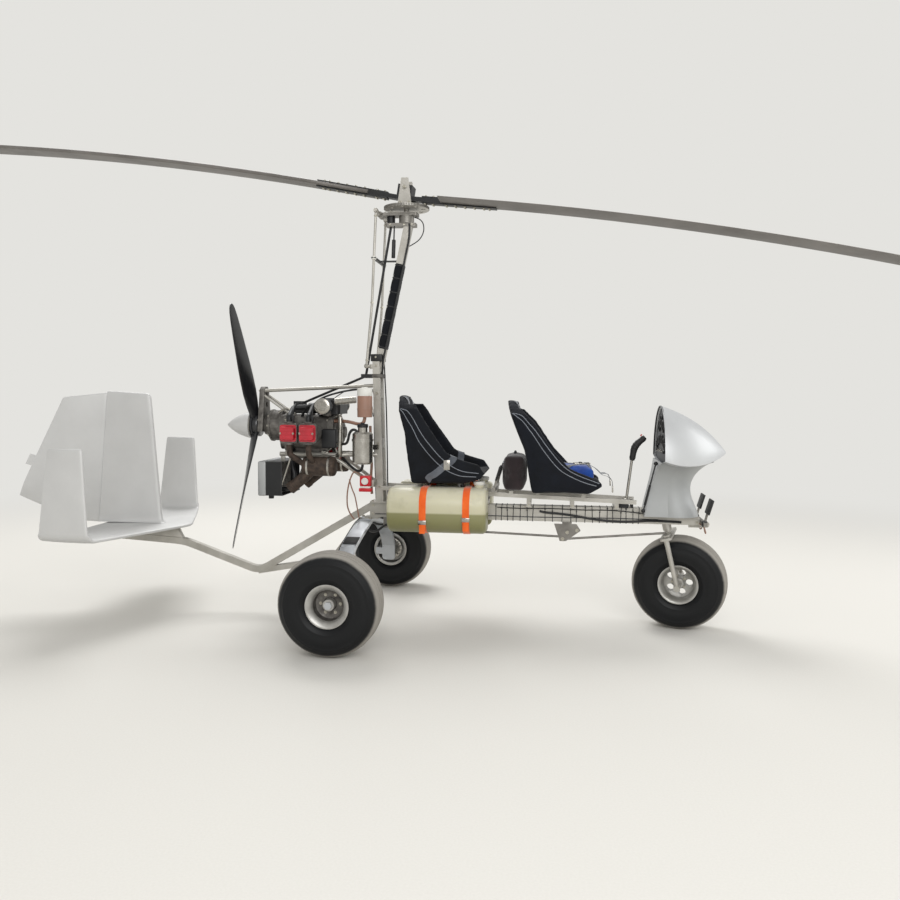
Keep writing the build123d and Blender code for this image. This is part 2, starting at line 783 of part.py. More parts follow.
def tank_outline(hand, grow=0.0):
    """Tank section: small corners near the keel, large ones outside."""
    near = tank_y[0] - grow
    far = tank_y[1] + grow
    low = tank_z[0] - grow
    high = tank_z[1] + grow
    outer_r = tank_d * 0.5 + grow
    with BuildLine() as outline:
        Line((hand * near, low), (hand * (far - outer_r), low))
        ThreePointArc(
            (hand * (far - outer_r), low),
            (hand * (far - outer_r * (1 - sin(radians(45)))), low + outer_r * (1 - sin(radians(45)))),
            (hand * far, low + outer_r),
        )
        Line((hand * far, low + outer_r), (hand * far, high - outer_r))
        ThreePointArc(
            (hand * far, high - outer_r),
            (hand * (far - outer_r * (1 - sin(radians(45)))), high - outer_r * (1 - sin(radians(45)))),
            (hand * (far - outer_r), high),
        )
        Polyline((hand * (far - outer_r), high), (hand * near, high), (hand * near, low))
    make_face(outline.edges())


with BuildPart() as fuel_tanks:
    for hand in (1, -1):
        with BuildSketch(Plane((tank_x[0], 0, 0), x_dir=(0, 1, 0), z_dir=(1, 0, 0))):
            tank_outline(hand)
        extrude(amount=tank_x[1] - tank_x[0])
        with BuildSketch(Plane((tank_x[0] + tank_wall, 0, 0), x_dir=(0, 1, 0), z_dir=(1, 0, 0))):
            tank_outline(hand, -tank_wall)
        extrude(amount=tank_x[1] - tank_x[0] - 2 * tank_wall, mode=Mode.SUBTRACT)
        with BuildSketch(Plane((tank_x[1] - 55, hand * (tank_y[0] + 45), tank_z[1]))):
            Circle(30)
        extrude(amount=16)
finish(fuel_tanks.part, "fuel_tanks")

with BuildPart() as tank_straps:
    for hand in (1, -1):
        for x in strap_xs:
            face = Plane((x - strap_w / 2, 0, 0), x_dir=(0, 1, 0), z_dir=(1, 0, 0))
            with BuildSketch(face):
                tank_outline(hand, seated + strap_t)
            extrude(amount=strap_w)
            with BuildSketch(face):
                tank_outline(hand, seated)
            extrude(amount=strap_w, mode=Mode.SUBTRACT)
finish(tank_straps.part, "tank_straps")

# Seats: fabric buckets, points are x and z
front_wing = ((650, 1425), (700, 1420), (748, 1373), (846, 1271), (958, 1114), (1055, 1012),
              (1246, 927), (1260, 900), (1176, front_seat_z), (824, front_seat_z), (775, 1110),
              (720, 1242))
front_inner = ((690, 1440), (765, 1236), (822, 1100), (872, 930), (900, front_pan_z),
               (1300, front_pan_z), (1300, 1440))
rear_wing = ((-40, 1450), (20, 1448), (72, 1425), (150, 1303), (299, 1096), (380, 1057),
             (502, 1019), (542, 960), (510, 925), (398, rear_seat_z), (80, rear_seat_z),
             (50, 1040), (26, 1200))
rear_inner = ((6, 1460), (80, 1195), (105, 1040), (140, 960), (175, 945), (600, 975), (600, 1460))


def bucket(wing, inner, top_z):
    """Bucket seat: side wings cut from one block, with a rounded head."""
    with BuildSketch(Plane.XZ) as wings:
        with BuildLine():
            Polyline(*wing, close=True)
        make_face()
    extrude(wings.sketch, amount=seat_w / 2, both=True)
    with BuildSketch(Plane.XZ) as hollow:
        with BuildLine():
            Polyline(*inner, close=True)
        make_face()
    extrude(hollow.sketch, amount=seat_w / 2 - seat_wall, both=True, mode=Mode.SUBTRACT)
    with BuildSketch(Plane.YZ.offset(-500)) as front_view:
        with BuildLine():
            Polyline((-seat_w / 2, 500), (-seat_w / 2, top_z - 330), (-seat_top_w / 2, top_z - 60))
            ThreePointArc((-seat_top_w / 2, top_z - 60), (0, top_z + 1), (seat_top_w / 2, top_z - 60))
            Polyline(
                (seat_top_w / 2, top_z - 60), (seat_w / 2, top_z - 330), (seat_w / 2, 500),
                (-seat_w / 2, 500),
            )
        make_face()
    extrude(front_view.sketch, amount=2500, mode=Mode.INTERSECT)


with BuildPart() as seat_front:
    bucket(front_wing, front_inner, 1425)
finish(seat_front.part, "seat_front")

with BuildPart() as seat_rear:
    bucket(rear_wing, rear_inner, 1450)
finish(seat_rear.part, "seat_rear")

with BuildPart() as cushion_front:
    with BuildSketch(Plane.XY.offset(front_pan_z + seated)):
        with Locations((1080, 0)):
            RectangleRounded(240, 330, 50)
    extrude(amount=66)
    chamfer(cushion_front.edges().filter_by(Plane.XY), 16)
finish(cushion_front.part, "cushion_front")

with BuildPart() as stowage_bag:
    with BuildSketch(Plane.XY.offset(bag_z + seated)):
        with Locations((bag_x, 0)):
            RectangleRounded(110, 300, 30)
    extrude(amount=190)
    chamfer(stowage_bag.faces().sort_by(Axis.Z)[-1].edges(), 18)
finish(stowage_bag.part, "stowage_bag")

# Controls
pedal_bar = 22.0
front_pedal_x = keel_front_x + pedal_bar / 2
front_pedal_z = keel_bottom + keel_nose_h - pedal_bar / 2 - 12
with BuildPart() as pedals:
    for x, z, half, plate_h in (
        (front_pedal_x, front_pedal_z, 150.0, 88.0),
        (rear_pedal_x, rear_pedal_z + pedal_bar / 2, 150.0, 80.0),
    ):
        box_tube((x, -half - 50, z), (x, half + 50, z), pedal_bar, pedal_bar, across=(1, 0, 0))
        for hand in (1, -1):
            box_tube((x, hand * half, z), (x + 16, hand * half, z + 66), 16, 12)
            box_tube((x + 14, hand * half, z + 60), (x + 40, hand * half, z + 60 + plate_h), 118, 6)
finish(pedals.part, "pedals")

stick_x = 1406.0
with BuildPart() as control_stick:
    round_bar((stick_x, 0, keel_top), (stick_x, 0, keel_top + 54), 34)
    bent_pipe(((stick_x, 0, keel_top + 32), (stick_x + 30, 0, 1060), (stick_x + 64, 0, 1190)), 60, 20)
    round_bar((stick_x + 40, 0, 1080), (stick_x + 76, 0, 1196), 38)
finish(control_stick.part, "control_stick")

# Steering: a bell crank on the keel, with a rod to the fork's arm and one aft to the rudder cables
crank_top_z = keel_bottom - 12.0
link_d = 14.0
link_y = -54.0
rear_link_x = -120.0
rear_link_z = 596.0
arm_turn = radians(steer_rest)
arm_eye = fork_plane.from_local_coords(
    (steer_arm_r * sin(arm_turn) * 0.8, -steer_arm_r * cos(arm_turn) * 0.8, steer_arm_z + steer_arm_t + 9)
)
with BuildPart() as steering_linkage:
    round_bar((1020, link_y, 545), (arm_eye.X, arm_eye.Y, arm_eye.Z), link_d)
    round_bar((rear_link_x, link_y, rear_link_z), (1000, link_y, 560), link_d)
    with BuildSketch(Plane((0, link_y + link_d / 2, 0), x_dir=(1, 0, 0), z_dir=(0, -1, 0))):
        with BuildLine():
            Polyline(
                (960, crank_top_z), (1100, crank_top_z), (1126, 600), (1034, 532), (996, 532),
                close=True,
            )
        make_face()
    extrude(amount=link_d)
    for x, low_z, length in ((1040.0, crank_top_z - 20, 60.0), (rear_link_x, rear_link_z - 10, 24.0)):
        with BuildSketch(Plane((x, link_y / 2, low_z))):
            Rectangle(length, -link_y + link_d)
        extrude(amount=keel_bottom - low_z)
finish(steering_linkage.part, "steering_linkage")

# Engine: flat four with finned cylinders, red rocker covers and a belt-box nose
with BuildPart() as crankcase:
    length = crank_x[1] - crank_x[0]
    mid_x = (crank_x[0] + crank_x[1]) / 2
    with BuildSketch(Plane((crank_x[0], 0, crank_z), x_dir=(0, 1, 0), z_dir=(1, 0, 0))):
        RectangleRounded(crank_w, crank_h, 46)
    extrude(amount=length)
    for x in (crank_x[0] + 26, (cylinder_xs[0] + cylinder_xs[1]) / 2 - 5, crank_x[1] - 36):
        with BuildSketch(Plane((x, 0, crank_z), x_dir=(0, 1, 0), z_dir=(1, 0, 0))):
            RectangleRounded(crank_w + 2 * case_rib, crank_h + 2 * case_rib, 50)
        extrude(amount=10)
    with BuildSketch(Plane((mid_x, 0, crank_z - crank_h / 2 - 60))):
        RectangleRounded(240, 170, 20)
    extrude(amount=80)
    for x in mount_xs:
        for hand in (1, -1):
            with BuildSketch(Plane((x, hand * (bearer_y - 8), bearer_z + bearer_d / 2 + pad_h))):
                Rectangle(44, 52)
            extrude(amount=crank_z - crank_h / 4 - bearer_z - bearer_d / 2 - pad_h)
finish(crankcase.part, "crankcase")

fin_count = 7
with BuildPart() as cylinders:
    for x in cylinder_xs:
        for hand in (1, -1):
            base = Plane((x, hand * crank_w / 2, crank_z), x_dir=(1, 0, 0), z_dir=(0, hand, 0))
            with BuildSketch(base):
                Circle(cylinder_d / 2 - 10)
            extrude(amount=head_y - crank_w / 2 + 4)
            pitch = (head_y - crank_w / 2) / fin_count
            for row in range(fin_count):
                with BuildSketch(base.offset(pitch * (row + 0.3))):
                    Circle(cylinder_d / 2 + 6)
                extrude(amount=pitch * 0.42)
            with BuildSketch(base.offset(head_y - crank_w / 2)):
                RectangleRounded(head_x_size, head_z_size, 16)
            extrude(amount=cover_y - head_y)
finish(cylinders.part, "cylinders")

with BuildPart() as rocker_covers:
    for x in cylinder_xs:
        for hand in (1, -1):
            face = Plane((x, hand * cover_y, crank_z), x_dir=(1, 0, 0), z_dir=(0, hand, 0))
            with BuildSketch(face):
                RectangleRounded(104, 104, 14)
            extrude(amount=8)
            with BuildSketch(face.offset(8)):
                RectangleRounded(96, 88, 18)
            extrude(amount=26, taper=12)
            for step in (-1, 0, 1):
                with BuildSketch(face.offset(30)):
                    with Locations((0, step * 22)):
                        Rectangle(70, 8)
                extrude(amount=8)
finish(rocker_covers.part, "rocker_covers")

with BuildPart() as gearbox:
    nose = Plane((crank_x[0], 0, prop_z), x_dir=(0, -1, 0), z_dir=(-1, 0, 0))
    nose_len = crank_x[0] - prop_x - prop_hub_t / 2 - free
    with BuildSketch(nose):
        Circle(104)
    extrude(amount=nose_len * 0.55)
    with BuildSketch(nose.offset(nose_len * 0.5)):
        Circle(70)
    extrude(amount=nose_len * 0.5, taper=8)
    with BuildSketch(nose):
        with Locations((0, 130)):
            RectangleRounded(150, 250, 24)
    extrude(amount=nose_len * 0.4)
    with BuildSketch(nose):
        Circle(prop_shaft_d / 2 - 6)
    extrude(amount=crank_x[0] - prop_x + prop_hub_t / 2 - ends)
finish(gearbox.part, "gearbox")

port_y = (head_y + cover_y) / 2
port_d = 34.0
plenum_x = -482.0
plenum_h = 102.0
head_top_z = crank_z + head_z_size / 2
plenum_z = crank_z + crank_h / 2 + case_rib
with BuildPart() as intake:
    with BuildSketch(Plane((plenum_x, 0, plenum_z))):
        RectangleRounded(150, 230, 26)
    extrude(amount=plenum_h)
    chamfer(intake.faces().sort_by(Axis.Z)[-1].edges(), 16)
    with BuildSketch(Plane((plenum_x, 0, plenum_z + sheet_t))):
        RectangleRounded(150 - 2 * sheet_t, 230 - 2 * sheet_t, 26 - sheet_t)
    extrude(amount=plenum_h - 16 - sheet_t, mode=Mode.SUBTRACT)
    for x in cylinder_xs:
        for hand in (1, -1):
            bent_pipe(
                ((plenum_x - 38, hand * 70, plenum_z + 45), (x, hand * 170, plenum_z + 41),
                 (x, hand * port_y, head_top_z + 36), (x, hand * port_y, head_top_z)), 24, port_d
            )
finish(intake.part, "intake")

mufflers = ((-170, 58, -720, 260), (170, 52, -700, 220))  # y, radius, rear end and length
with BuildPart() as exhaust:
    for hand in (1, -1):
        for x in cylinder_xs:
            bent_pipe(
                ((x, hand * port_y, crank_z - head_z_size / 2), (x, hand * port_y, muffler_z + 120),
                 (-600, hand * 170, muffler_z)), 60, port_d + 2
            )
    for muffler_y, radius, start_x, length in mufflers:
        with BuildSketch(Plane((start_x, muffler_y, muffler_z), x_dir=(0, 1, 0), z_dir=(1, 0, 0))):
            Circle(radius)
        extrude(amount=length)
    chamfer(exhaust.faces().filter_by(Axis.X).edges(), 12)
    for muffler_y, radius, start_x, length in mufflers:
        with BuildSketch(Plane((start_x + 14, muffler_y, muffler_z), x_dir=(0, 1, 0), z_dir=(1, 0, 0))):
            Circle(radius - sheet_t)
        extrude(amount=length - 28, mode=Mode.SUBTRACT)
finish(exhaust.part, "exhaust")

radiator_w = 380.0
radiator_deep = 150.0
core_t = 44.0
with BuildPart() as radiator:
    with BuildSketch(Plane((radiator_x, 0, radiator_z))):
        RectangleRounded(radiator_deep, radiator_w, 12)
    extrude(amount=radiator_h)
    with BuildSketch(Plane((radiator_x, 0, radiator_z + radiator_h / 2), x_dir=(0, 1, 0), z_dir=(1, 0, 0))):
        Rectangle(radiator_w - 2 * sheet_t, radiator_h - 2 * sheet_t)
    extrude(amount=radiator_deep, both=True, mode=Mode.SUBTRACT)
    with BuildSketch(Plane((radiator_x, 0, radiator_z + radiator_h / 2), x_dir=(0, 1, 0), z_dir=(1, 0, 0))):
        Rectangle(radiator_w - sheet_t, radiator_h - sheet_t)
    extrude(amount=core_t / 2, both=True)
    for side in (1, -1):
        with BuildSketch(Plane((radiator_x, side * (radiator_w / 2 - 26), radiator_z + radiator_h / 2))):
            Rectangle(core_t + 28, 40)
        extrude(amount=radiator_h / 2 - sheet_t / 2, both=True)
finish(radiator.part, "radiator")

can_x = -235.0
can_y = -205.0
can_z = (1007.0, 1207.0)
can_d = 128.0
with BuildPart() as oil_tank:
    with BuildSketch(Plane((can_x, can_y, can_z[0]))):
        Circle(can_d / 2)
    extrude(amount=can_z[1] - can_z[0])
    chamfer(oil_tank.edges(), 12)
    with BuildSketch(Plane((can_x, can_y, can_z[0] + 14))):
        Circle(can_d / 2 - sheet_t)
    extrude(amount=can_z[1] - can_z[0] - 28, mode=Mode.SUBTRACT)
    with BuildSketch(Plane((can_x, can_y, can_z[1] - 8))):
        Circle(30)
    extrude(amount=36)
    with BuildSketch(Plane((can_x, can_y, can_z[1] - 57))):
        Circle(can_d / 2 + 4)
        Circle(can_d / 2 - 1, mode=Mode.SUBTRACT)
    extrude(amount=14)
    arm_z = (can_z[0] + can_z[1]) / 2
    box_tube(
        (can_x + 14, can_y + can_d / 2 - 6, arm_z), (mast_x - 27, -mast_pair_y - 10, arm_z), 30, 44,
        across=(0, 0, 1),
    )
    mast_pair(0.0, mode=Mode.SUBTRACT)
finish(oil_tank.part, "oil_tank")

brace_y = 46.0
with BuildPart() as engine_mount:
    for hand in (1, -1):
        bent_pipe(
            ((mast_x - 11, hand * brace_y, bearer_z), (-420, hand * bearer_y, bearer_z),
             (crank_x[0], hand * bearer_y, bearer_z)), 90, bearer_d
        )
        round_bar((mast_x - 25, hand * brace_y, 1500), (crank_x[0] - 3, hand * brace_y, 1468), 24)
        round_bar((mast_x - 5, hand * brace_y, 840), (-470, hand * bearer_y, bearer_z), 24)
        for x in mount_xs:
            with BuildSketch(Plane((x, hand * bearer_y, bearer_z))):
                Rectangle(40, 40)
            extrude(amount=bearer_d / 2 + pad_h)
        box_tube(
            (radiator_x + 55, hand * bearer_y, radiator_z + radiator_h),
            (radiator_x + 55, hand * bearer_y, bearer_z), 30, 8,
        )
    round_bar((-780, -bearer_y, bearer_z), (-780, bearer_y, bearer_z), 24)
    mast_pair(0.0, mode=Mode.SUBTRACT)
    add(gearbox.part, mode=Mode.SUBTRACT)
finish(engine_mount.part, "engine_mount")

# Rotor head: fixed gimbal plates on the mast, with a clamp for the torque bar
clamp_d = torque_bar_d + 16.0
torque_bar_z = gimbal_z + gimbal_plate_t / 2
with BuildPart() as rotor_head:
    with BuildSketch(Plane((-32, 0, head_bottom_z))):
        RectangleRounded(194, 74, 12)
    extrude(amount=head_plate_t)
    with BuildSketch(Plane((0, 0, head_bottom_z + head_plate_t))):
        Circle(48)
    extrude(amount=gimbal_z - head_bottom_z - head_plate_t)
    with BuildSketch(Plane((-40, 0, gimbal_z))):
        RectangleRounded(230, 96, 12)
    extrude(amount=gimbal_plate_t)
    with BuildSketch(Plane.XY.offset(head_bottom_z)):
        Circle(spindle_d / 2 + running)
    extrude(amount=ring_z - head_bottom_z, mode=Mode.SUBTRACT)
    bar_end = Plane((torque_bar_x, 0, torque_bar_z), x_dir=(1, 0, 0), z_dir=(0, 1, 0))
    with BuildSketch(bar_end):
        Circle(clamp_d / 2)
    extrude(amount=36, both=True)
    with BuildSketch(bar_end):
        Circle(torque_bar_d / 2 + running)
    extrude(amount=60, both=True, mode=Mode.SUBTRACT)
finish(rotor_head.part, "rotor_head")

# Control rods: torque bar in the head's clamp, push rods, and a cross bar carried by the mast
rod_bend = (-190.0, 2000.0)
bell_x = -224.0
with BuildPart() as control_rods:
    round_bar(
        (torque_bar_x, -push_rod_y - 22, torque_bar_z), (torque_bar_x, push_rod_y + 22, torque_bar_z),
        torque_bar_d,
    )
    for hand in (1, -1):
        round_bar(
            (torque_bar_x, hand * push_rod_y, torque_bar_z), (rod_bend[0], hand * push_rod_y, rod_bend[1]), 16
        )
        round_bar((rod_bend[0], hand * push_rod_y, rod_bend[1]), (bell_x, hand * push_rod_y, bell_z), 16)
        box_tube((bell_x, hand * mast_pair_y, bell_z), (bell_x + 30, hand * mast_pair_y, bell_z), 24, 30)
    round_bar((bell_x, -push_rod_y - 10, bell_z), (bell_x, push_rod_y + 10, bell_z), 20)
    mast_pair(0.0, mode=Mode.SUBTRACT)
finish(control_rods.part, "control_rods")

# Prerotator drive: a box on the engine, a jointed shaft up behind the mast and a unit under the ring gear
drive_box_x = -700.0
drive_joint = (-262.0, 0.0, 1560.0)
drive_top_x = -100.0
drive_shaft_d = 16.0
with BuildPart() as prerotator:
    with BuildSketch(Plane((drive_box_x, 0, plenum_z))):
        RectangleRounded(70, 80, 10)
    extrude(amount=80)
    round_bar((drive_box_x, 0, plenum_z + 60), drive_joint, drive_shaft_d)
    round_bar(drive_joint, (drive_top_x, 0, head_bottom_z + 4), drive_shaft_d)
    with BuildSketch(Plane((drive_joint[0] + 30, 0, drive_joint[2] - 12))):
        Rectangle(96, 2 * mast_pair_y + mast_tube_y)
    extrude(amount=24)
    with BuildSketch(Plane((drive_top_x, 0, head_bottom_z + head_plate_t))):
        Circle(26)
    extrude(amount=gimbal_z - head_bottom_z - head_plate_t)
    mast_pair(0.0, mode=Mode.SUBTRACT)
    add(rotor_head.part, mode=Mode.SUBTRACT)
finish(prerotator.part, "prerotator")

# Spinning tower: ring gear, spindle and the two cheek plates that hold the teeter pin
with BuildPart() as rotor_tower:
    with BuildSketch(Plane.XY.offset(ring_z)):
        Circle(ring_d / 2)
        with PolarLocations(ring_d / 2 - 34, 8):
            Circle(15, mode=Mode.SUBTRACT)
    extrude(amount=ring_t)
    with BuildSketch(Plane.XY.offset(head_bottom_z + 3)):
        Circle(spindle_d / 2)
    extrude(amount=ring_z - head_bottom_z)
    for hand in (1, -1):
        side_y = hand * (cheek_gap / 2 + cheek_t / 2)
        with BuildSketch(Plane((0, side_y, 0), x_dir=(1, 0, 0), z_dir=(0, -1, 0))):
            with BuildLine():
                Polyline(
                    (-46, ring_z + ring_t), (46, ring_z + ring_t), (22, cheek_top_z), (-22, cheek_top_z),
                    close=True,
                )
            make_face()
        extrude(amount=cheek_t / 2, both=True)
    with BuildSketch(Plane((0, 0, teeter_z), x_dir=(1, 0, 0), z_dir=(0, 1, 0))):
        Circle(teeter_pin_d / 2)
    extrude(amount=cheek_gap / 2 + cheek_t + 10, both=True)
finish(rotor_tower.part.rotate(Axis.Z, rotor_yaw), "rotor_tower")

# Hub bar and blades, built level and straight ahead, then teetered and turned as parked
teeter_axis = Axis((0, 0, teeter_z), (0, 1, 0))


def as_parked(part):
    """Tip the rotor onto its stop and turn it to its parked heading."""
    return part.rotate(teeter_axis, teeter_rest).rotate(Axis.Z, rotor_yaw)


cone = radians(precone)
lead_x = blade_chord * 0.25
trail_x = lead_x - blade_chord
nose_r = blade_t * 0.42
with BuildPart() as hub_bar:
    for hand in (1, -1):
        tip = (hand * strap_r * cos(cone), 0, hub_z + strap_r * sin(cone))
        root = (hand * blade_root_r * cos(cone), 0, hub_z + blade_root_r * sin(cone))
        box_tube((0, 0, hub_z), root, hub_bar_w, hub_bar_t)
        for lift in (1, -1):
            gap = (hub_bar_t + 8) / 2
            plane, length = along((0, 0, hub_z), tip)
            lifted = Plane(plane.origin, x_dir=(0, 1, 0), z_dir=plane.z_dir)
            with BuildSketch(lifted.offset(blade_root_r - 120)):
                with Locations((0, lift * gap)):
                    Rectangle(hub_bar_w, 8)
            extrude(amount=strap_r - blade_root_r + 120)
    with BuildSketch(Plane.XY.offset(hub_z - hub_bar_t / 2)):
        Rectangle(92, cheek_gap - 2 * ends)
    extrude(amount=teeter_z - hub_z + hub_bar_t / 2 + 18)
    with BuildSketch(Plane((0, 0, teeter_z), x_dir=(1, 0, 0), z_dir=(0, 1, 0))):
        Circle(teeter_pin_d / 2 + running)
    extrude(amount=100, both=True, mode=Mode.SUBTRACT)
finish(as_parked(hub_bar.part), "hub_bar")

with BuildPart() as rotor_blades:
    for hand in (1, -1):
        root = Vector(hand * blade_root_r * cos(cone), 0, hub_z + blade_root_r * sin(cone))
        outward = Vector(hand * cos(cone), 0, sin(cone))
        up = Vector(-hand * sin(cone), 0, cos(cone))
        lead = Vector(0, hand, 0)
        with BuildSketch(Plane(origin=root, x_dir=lead, z_dir=outward)) as foil:
            with BuildLine():
                ThreePointArc((lead_x - nose_r, nose_r), (lead_x, 0), (lead_x - nose_r, -nose_r))
                ThreePointArc((lead_x - nose_r, -nose_r), (-26, -blade_t * 0.48), (trail_x, -1))
                Line((trail_x, -1), (trail_x, 1))
                ThreePointArc((trail_x, 1), (-26, blade_t * 0.48), (lead_x - nose_r, nose_r))
            make_face()
        bend_centre = root - up * blade_sag_radius
        reach = degrees((rotor_r - blade_root_r) / blade_sag_radius)
        revolve(foil.sketch, axis=Axis(bend_centre, (0, hand, 0)), revolution_arc=reach)
finish(as_parked(rotor_blades.part), "rotor_blades")

# Propeller: three twisted blades on a hub, columns are radius, chord, thickness and pitch angle
blade_rows = ((60.0, 62.0, 40.0, 52.0), (250.0, 92.0, 22.0, 34.0), (560.0, 84.0, 13.0, 20.0),
              (prop_r, 54.0, 7.0, 14.0))
with BuildPart() as propeller:
    with BuildSketch(Plane((prop_x - prop_hub_t / 2, 0, prop_z), x_dir=(0, 1, 0), z_dir=(1, 0, 0))):
        Circle(prop_hub_d / 2)
        Circle(prop_shaft_d / 2 - 6 + running, mode=Mode.SUBTRACT)
    extrude(amount=prop_hub_t)
    for blade in range(3):
        angle = radians(120 * blade)
        outward = Vector(0, cos(angle), sin(angle))
        with BuildPart(mode=Mode.PRIVATE) as one_blade:
            for radius, chord, thick, pitch in blade_rows:
                spot = Vector(prop_x, 0, prop_z) + outward * radius
                flat = outward.cross(Vector(1, 0, 0))
                chord_dir = flat * cos(radians(pitch)) + Vector(1, 0, 0) * sin(radians(pitch))
                with BuildSketch(Plane(origin=spot, x_dir=chord_dir, z_dir=outward)):
                    with BuildLine():
                        ThreePointArc((-chord / 2, 0), (0, thick / 2), (chord / 2, 0))
                        ThreePointArc((chord / 2, 0), (0, -thick / 2), (-chord / 2, 0))
                    make_face()
            loft()
        add(one_blade.part)
finish(propeller.part, "propeller")

# Spinner: a thin pointed shell on a base plate behind the propeller hub
spinner_x = prop_x - prop_hub_t / 2
spinner_r = 88.0
spinner_len = 165.0
spinner_wall = 2.5
with BuildPart() as spinner:
    spin_line = Axis((spinner_x, 0, prop_z), (-1, 0, 0))
    for inset, mode in ((0.0, Mode.ADD), (spinner_wall, Mode.SUBTRACT)):
        reach = spinner_len - inset
        girth = spinner_r - inset
        with BuildSketch(Plane((spinner_x, 0, prop_z), x_dir=(-1, 0, 0), z_dir=(0, 1, 0))):
            with BuildLine():
                Line((inset, 0), (inset, girth))
                ThreePointArc((inset, girth), (reach * 0.6, girth * 0.62), (reach, 6))
                Polyline((reach, 6), (reach, 0), (inset, 0))
            make_face()
        revolve(axis=spin_line, mode=mode)
finish(spinner.part, "spinner")
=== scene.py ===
# %% [markdown]
# # A two-seat gyrocopter, dressed for its picture
#
# The machine is an open frame: a box keel, a mast, three fat wheels, two fabric bucket seats, an engine
# behind them and a two-blade rotor on top. The imported model already holds its true size and its joints, so
# the first step only loads it. Everything added later has to stay in that box. Blender counts in metres, but a
# workshop thinks in millimetres, so all modelling below does too, and its helpers convert.

# %% Load the frame
import json
from math import atan2, cos, pi, radians, sin

import bpy
from mathutils import Matrix, Vector

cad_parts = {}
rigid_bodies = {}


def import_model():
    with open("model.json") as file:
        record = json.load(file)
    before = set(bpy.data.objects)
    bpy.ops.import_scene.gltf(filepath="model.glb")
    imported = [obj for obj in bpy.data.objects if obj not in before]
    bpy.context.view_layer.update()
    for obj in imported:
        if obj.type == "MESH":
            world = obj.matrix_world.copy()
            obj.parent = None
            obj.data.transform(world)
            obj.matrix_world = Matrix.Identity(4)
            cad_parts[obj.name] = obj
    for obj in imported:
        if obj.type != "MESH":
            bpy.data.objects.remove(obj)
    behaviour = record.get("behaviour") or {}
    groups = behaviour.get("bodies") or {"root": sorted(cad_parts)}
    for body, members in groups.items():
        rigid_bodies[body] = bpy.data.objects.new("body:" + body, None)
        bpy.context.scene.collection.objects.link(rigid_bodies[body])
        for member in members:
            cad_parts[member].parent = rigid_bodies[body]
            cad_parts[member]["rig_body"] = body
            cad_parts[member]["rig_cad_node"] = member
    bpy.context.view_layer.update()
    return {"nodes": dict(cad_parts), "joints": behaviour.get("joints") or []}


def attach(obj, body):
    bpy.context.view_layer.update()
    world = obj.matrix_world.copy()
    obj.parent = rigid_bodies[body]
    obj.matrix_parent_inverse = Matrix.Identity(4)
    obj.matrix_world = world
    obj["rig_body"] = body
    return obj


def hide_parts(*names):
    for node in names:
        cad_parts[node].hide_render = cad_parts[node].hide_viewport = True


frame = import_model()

joints = {j["name"]: (Vector(j["pos_m"]) * 1000, Vector(j["axis"])) for j in frame["joints"]}

# %% [markdown]
# A camera is a place, a direction and a lens. The picture was taken by a standing person on the starboard
# side, a little ahead of the mast, with a phone held almost level. Writing the camera as yaw, pitch and roll
# keeps these three plain facts apart, which is easier to adjust than a matrix of nine numbers.

# %% Camera
eye = Vector((0.966, -5.369, 1.433))
yaw, pitch, roll = radians(97.181), radians(-3.623), radians(0.46)
ahead = Vector((cos(yaw) * cos(pitch), sin(yaw) * cos(pitch), sin(pitch)))
level = Vector((sin(yaw), -cos(yaw), 0))
upright = level.cross(ahead)
right = level * cos(roll) + upright * sin(roll)
top = upright * cos(roll) - level * sin(roll)

camera_data = bpy.data.cameras.new("side_camera")
camera_data.sensor_fit = "HORIZONTAL"
camera_data.sensor_width = 36.0
camera_data.lens = 33.8
camera_data.clip_end = 300.0
camera = bpy.data.objects.new("side_camera", camera_data)
bpy.context.scene.collection.objects.link(camera)
camera.matrix_world = Matrix.Translation(eye) @ Matrix((right, top, -ahead)).transposed().to_4x4()
bpy.context.scene.camera = camera
print("camera looks along", [round(v, 3) for v in ahead])

# %% [markdown]
# Blender's shader sockets take linear colours, while people pick colours as sRGB hex codes from a screen.
# One function turns the second into the first. Sizes of patterns are written in millimetres, and a texture's
# scale is repeats per metre, because Object coordinates are metres here.

# %% Colour and scale helpers
def linear(hex_code):
    """sRGB hex code to a linear colour with alpha."""
    parts = [int(hex_code[i:i + 2], 16) / 255 for i in (1, 3, 5)]
    return [p / 12.92 if p <= 0.04045 else ((p + 0.055) / 1.055) ** 2.4 for p in parts] + [1.0]


def per_mm(size):
    """Texture scale whose repeat is `size` millimetres."""
    return 1000.0 / size


def wave_mm(size):
    """Scale of a wave texture, which repeats every 6.2 units at a scale of one."""
    return per_mm(size) / 6.2


def add_node(tree, kind, values=None, links=None, **settings):
    """Add one node, set its properties and sockets, and link sockets into it."""
    made = tree.nodes.new("ShaderNode" + kind)
    for key, value in settings.items():
        setattr(made, key, value)
    for socket, value in (values or {}).items():
        made.inputs[socket].default_value = value
    for socket, source in (links or {}).items():
        tree.links.new(source, made.inputs[socket])
    return made


def noise(tree, coords, size_mm, detail, **more):
    """Soft cloudy values between 0 and 1, whose clouds are about `size_mm` wide."""
    made = add_node(tree, "TexNoise", {"Scale": per_mm(size_mm), "Detail": detail, **more}, {"Vector": coords})
    return made.outputs["Fac"]


def mix(tree, factor, *colours):
    """Mix of two colours, each a hex code or a socket."""
    made = add_node(tree, "Mix", links={0: factor}, data_type="RGBA")
    for socket, colour in zip((6, 7), colours):
        if isinstance(colour, str):
            made.inputs[socket].default_value = linear(colour)
        else:
            tree.links.new(colour, made.inputs[socket])
    return made.outputs[2]


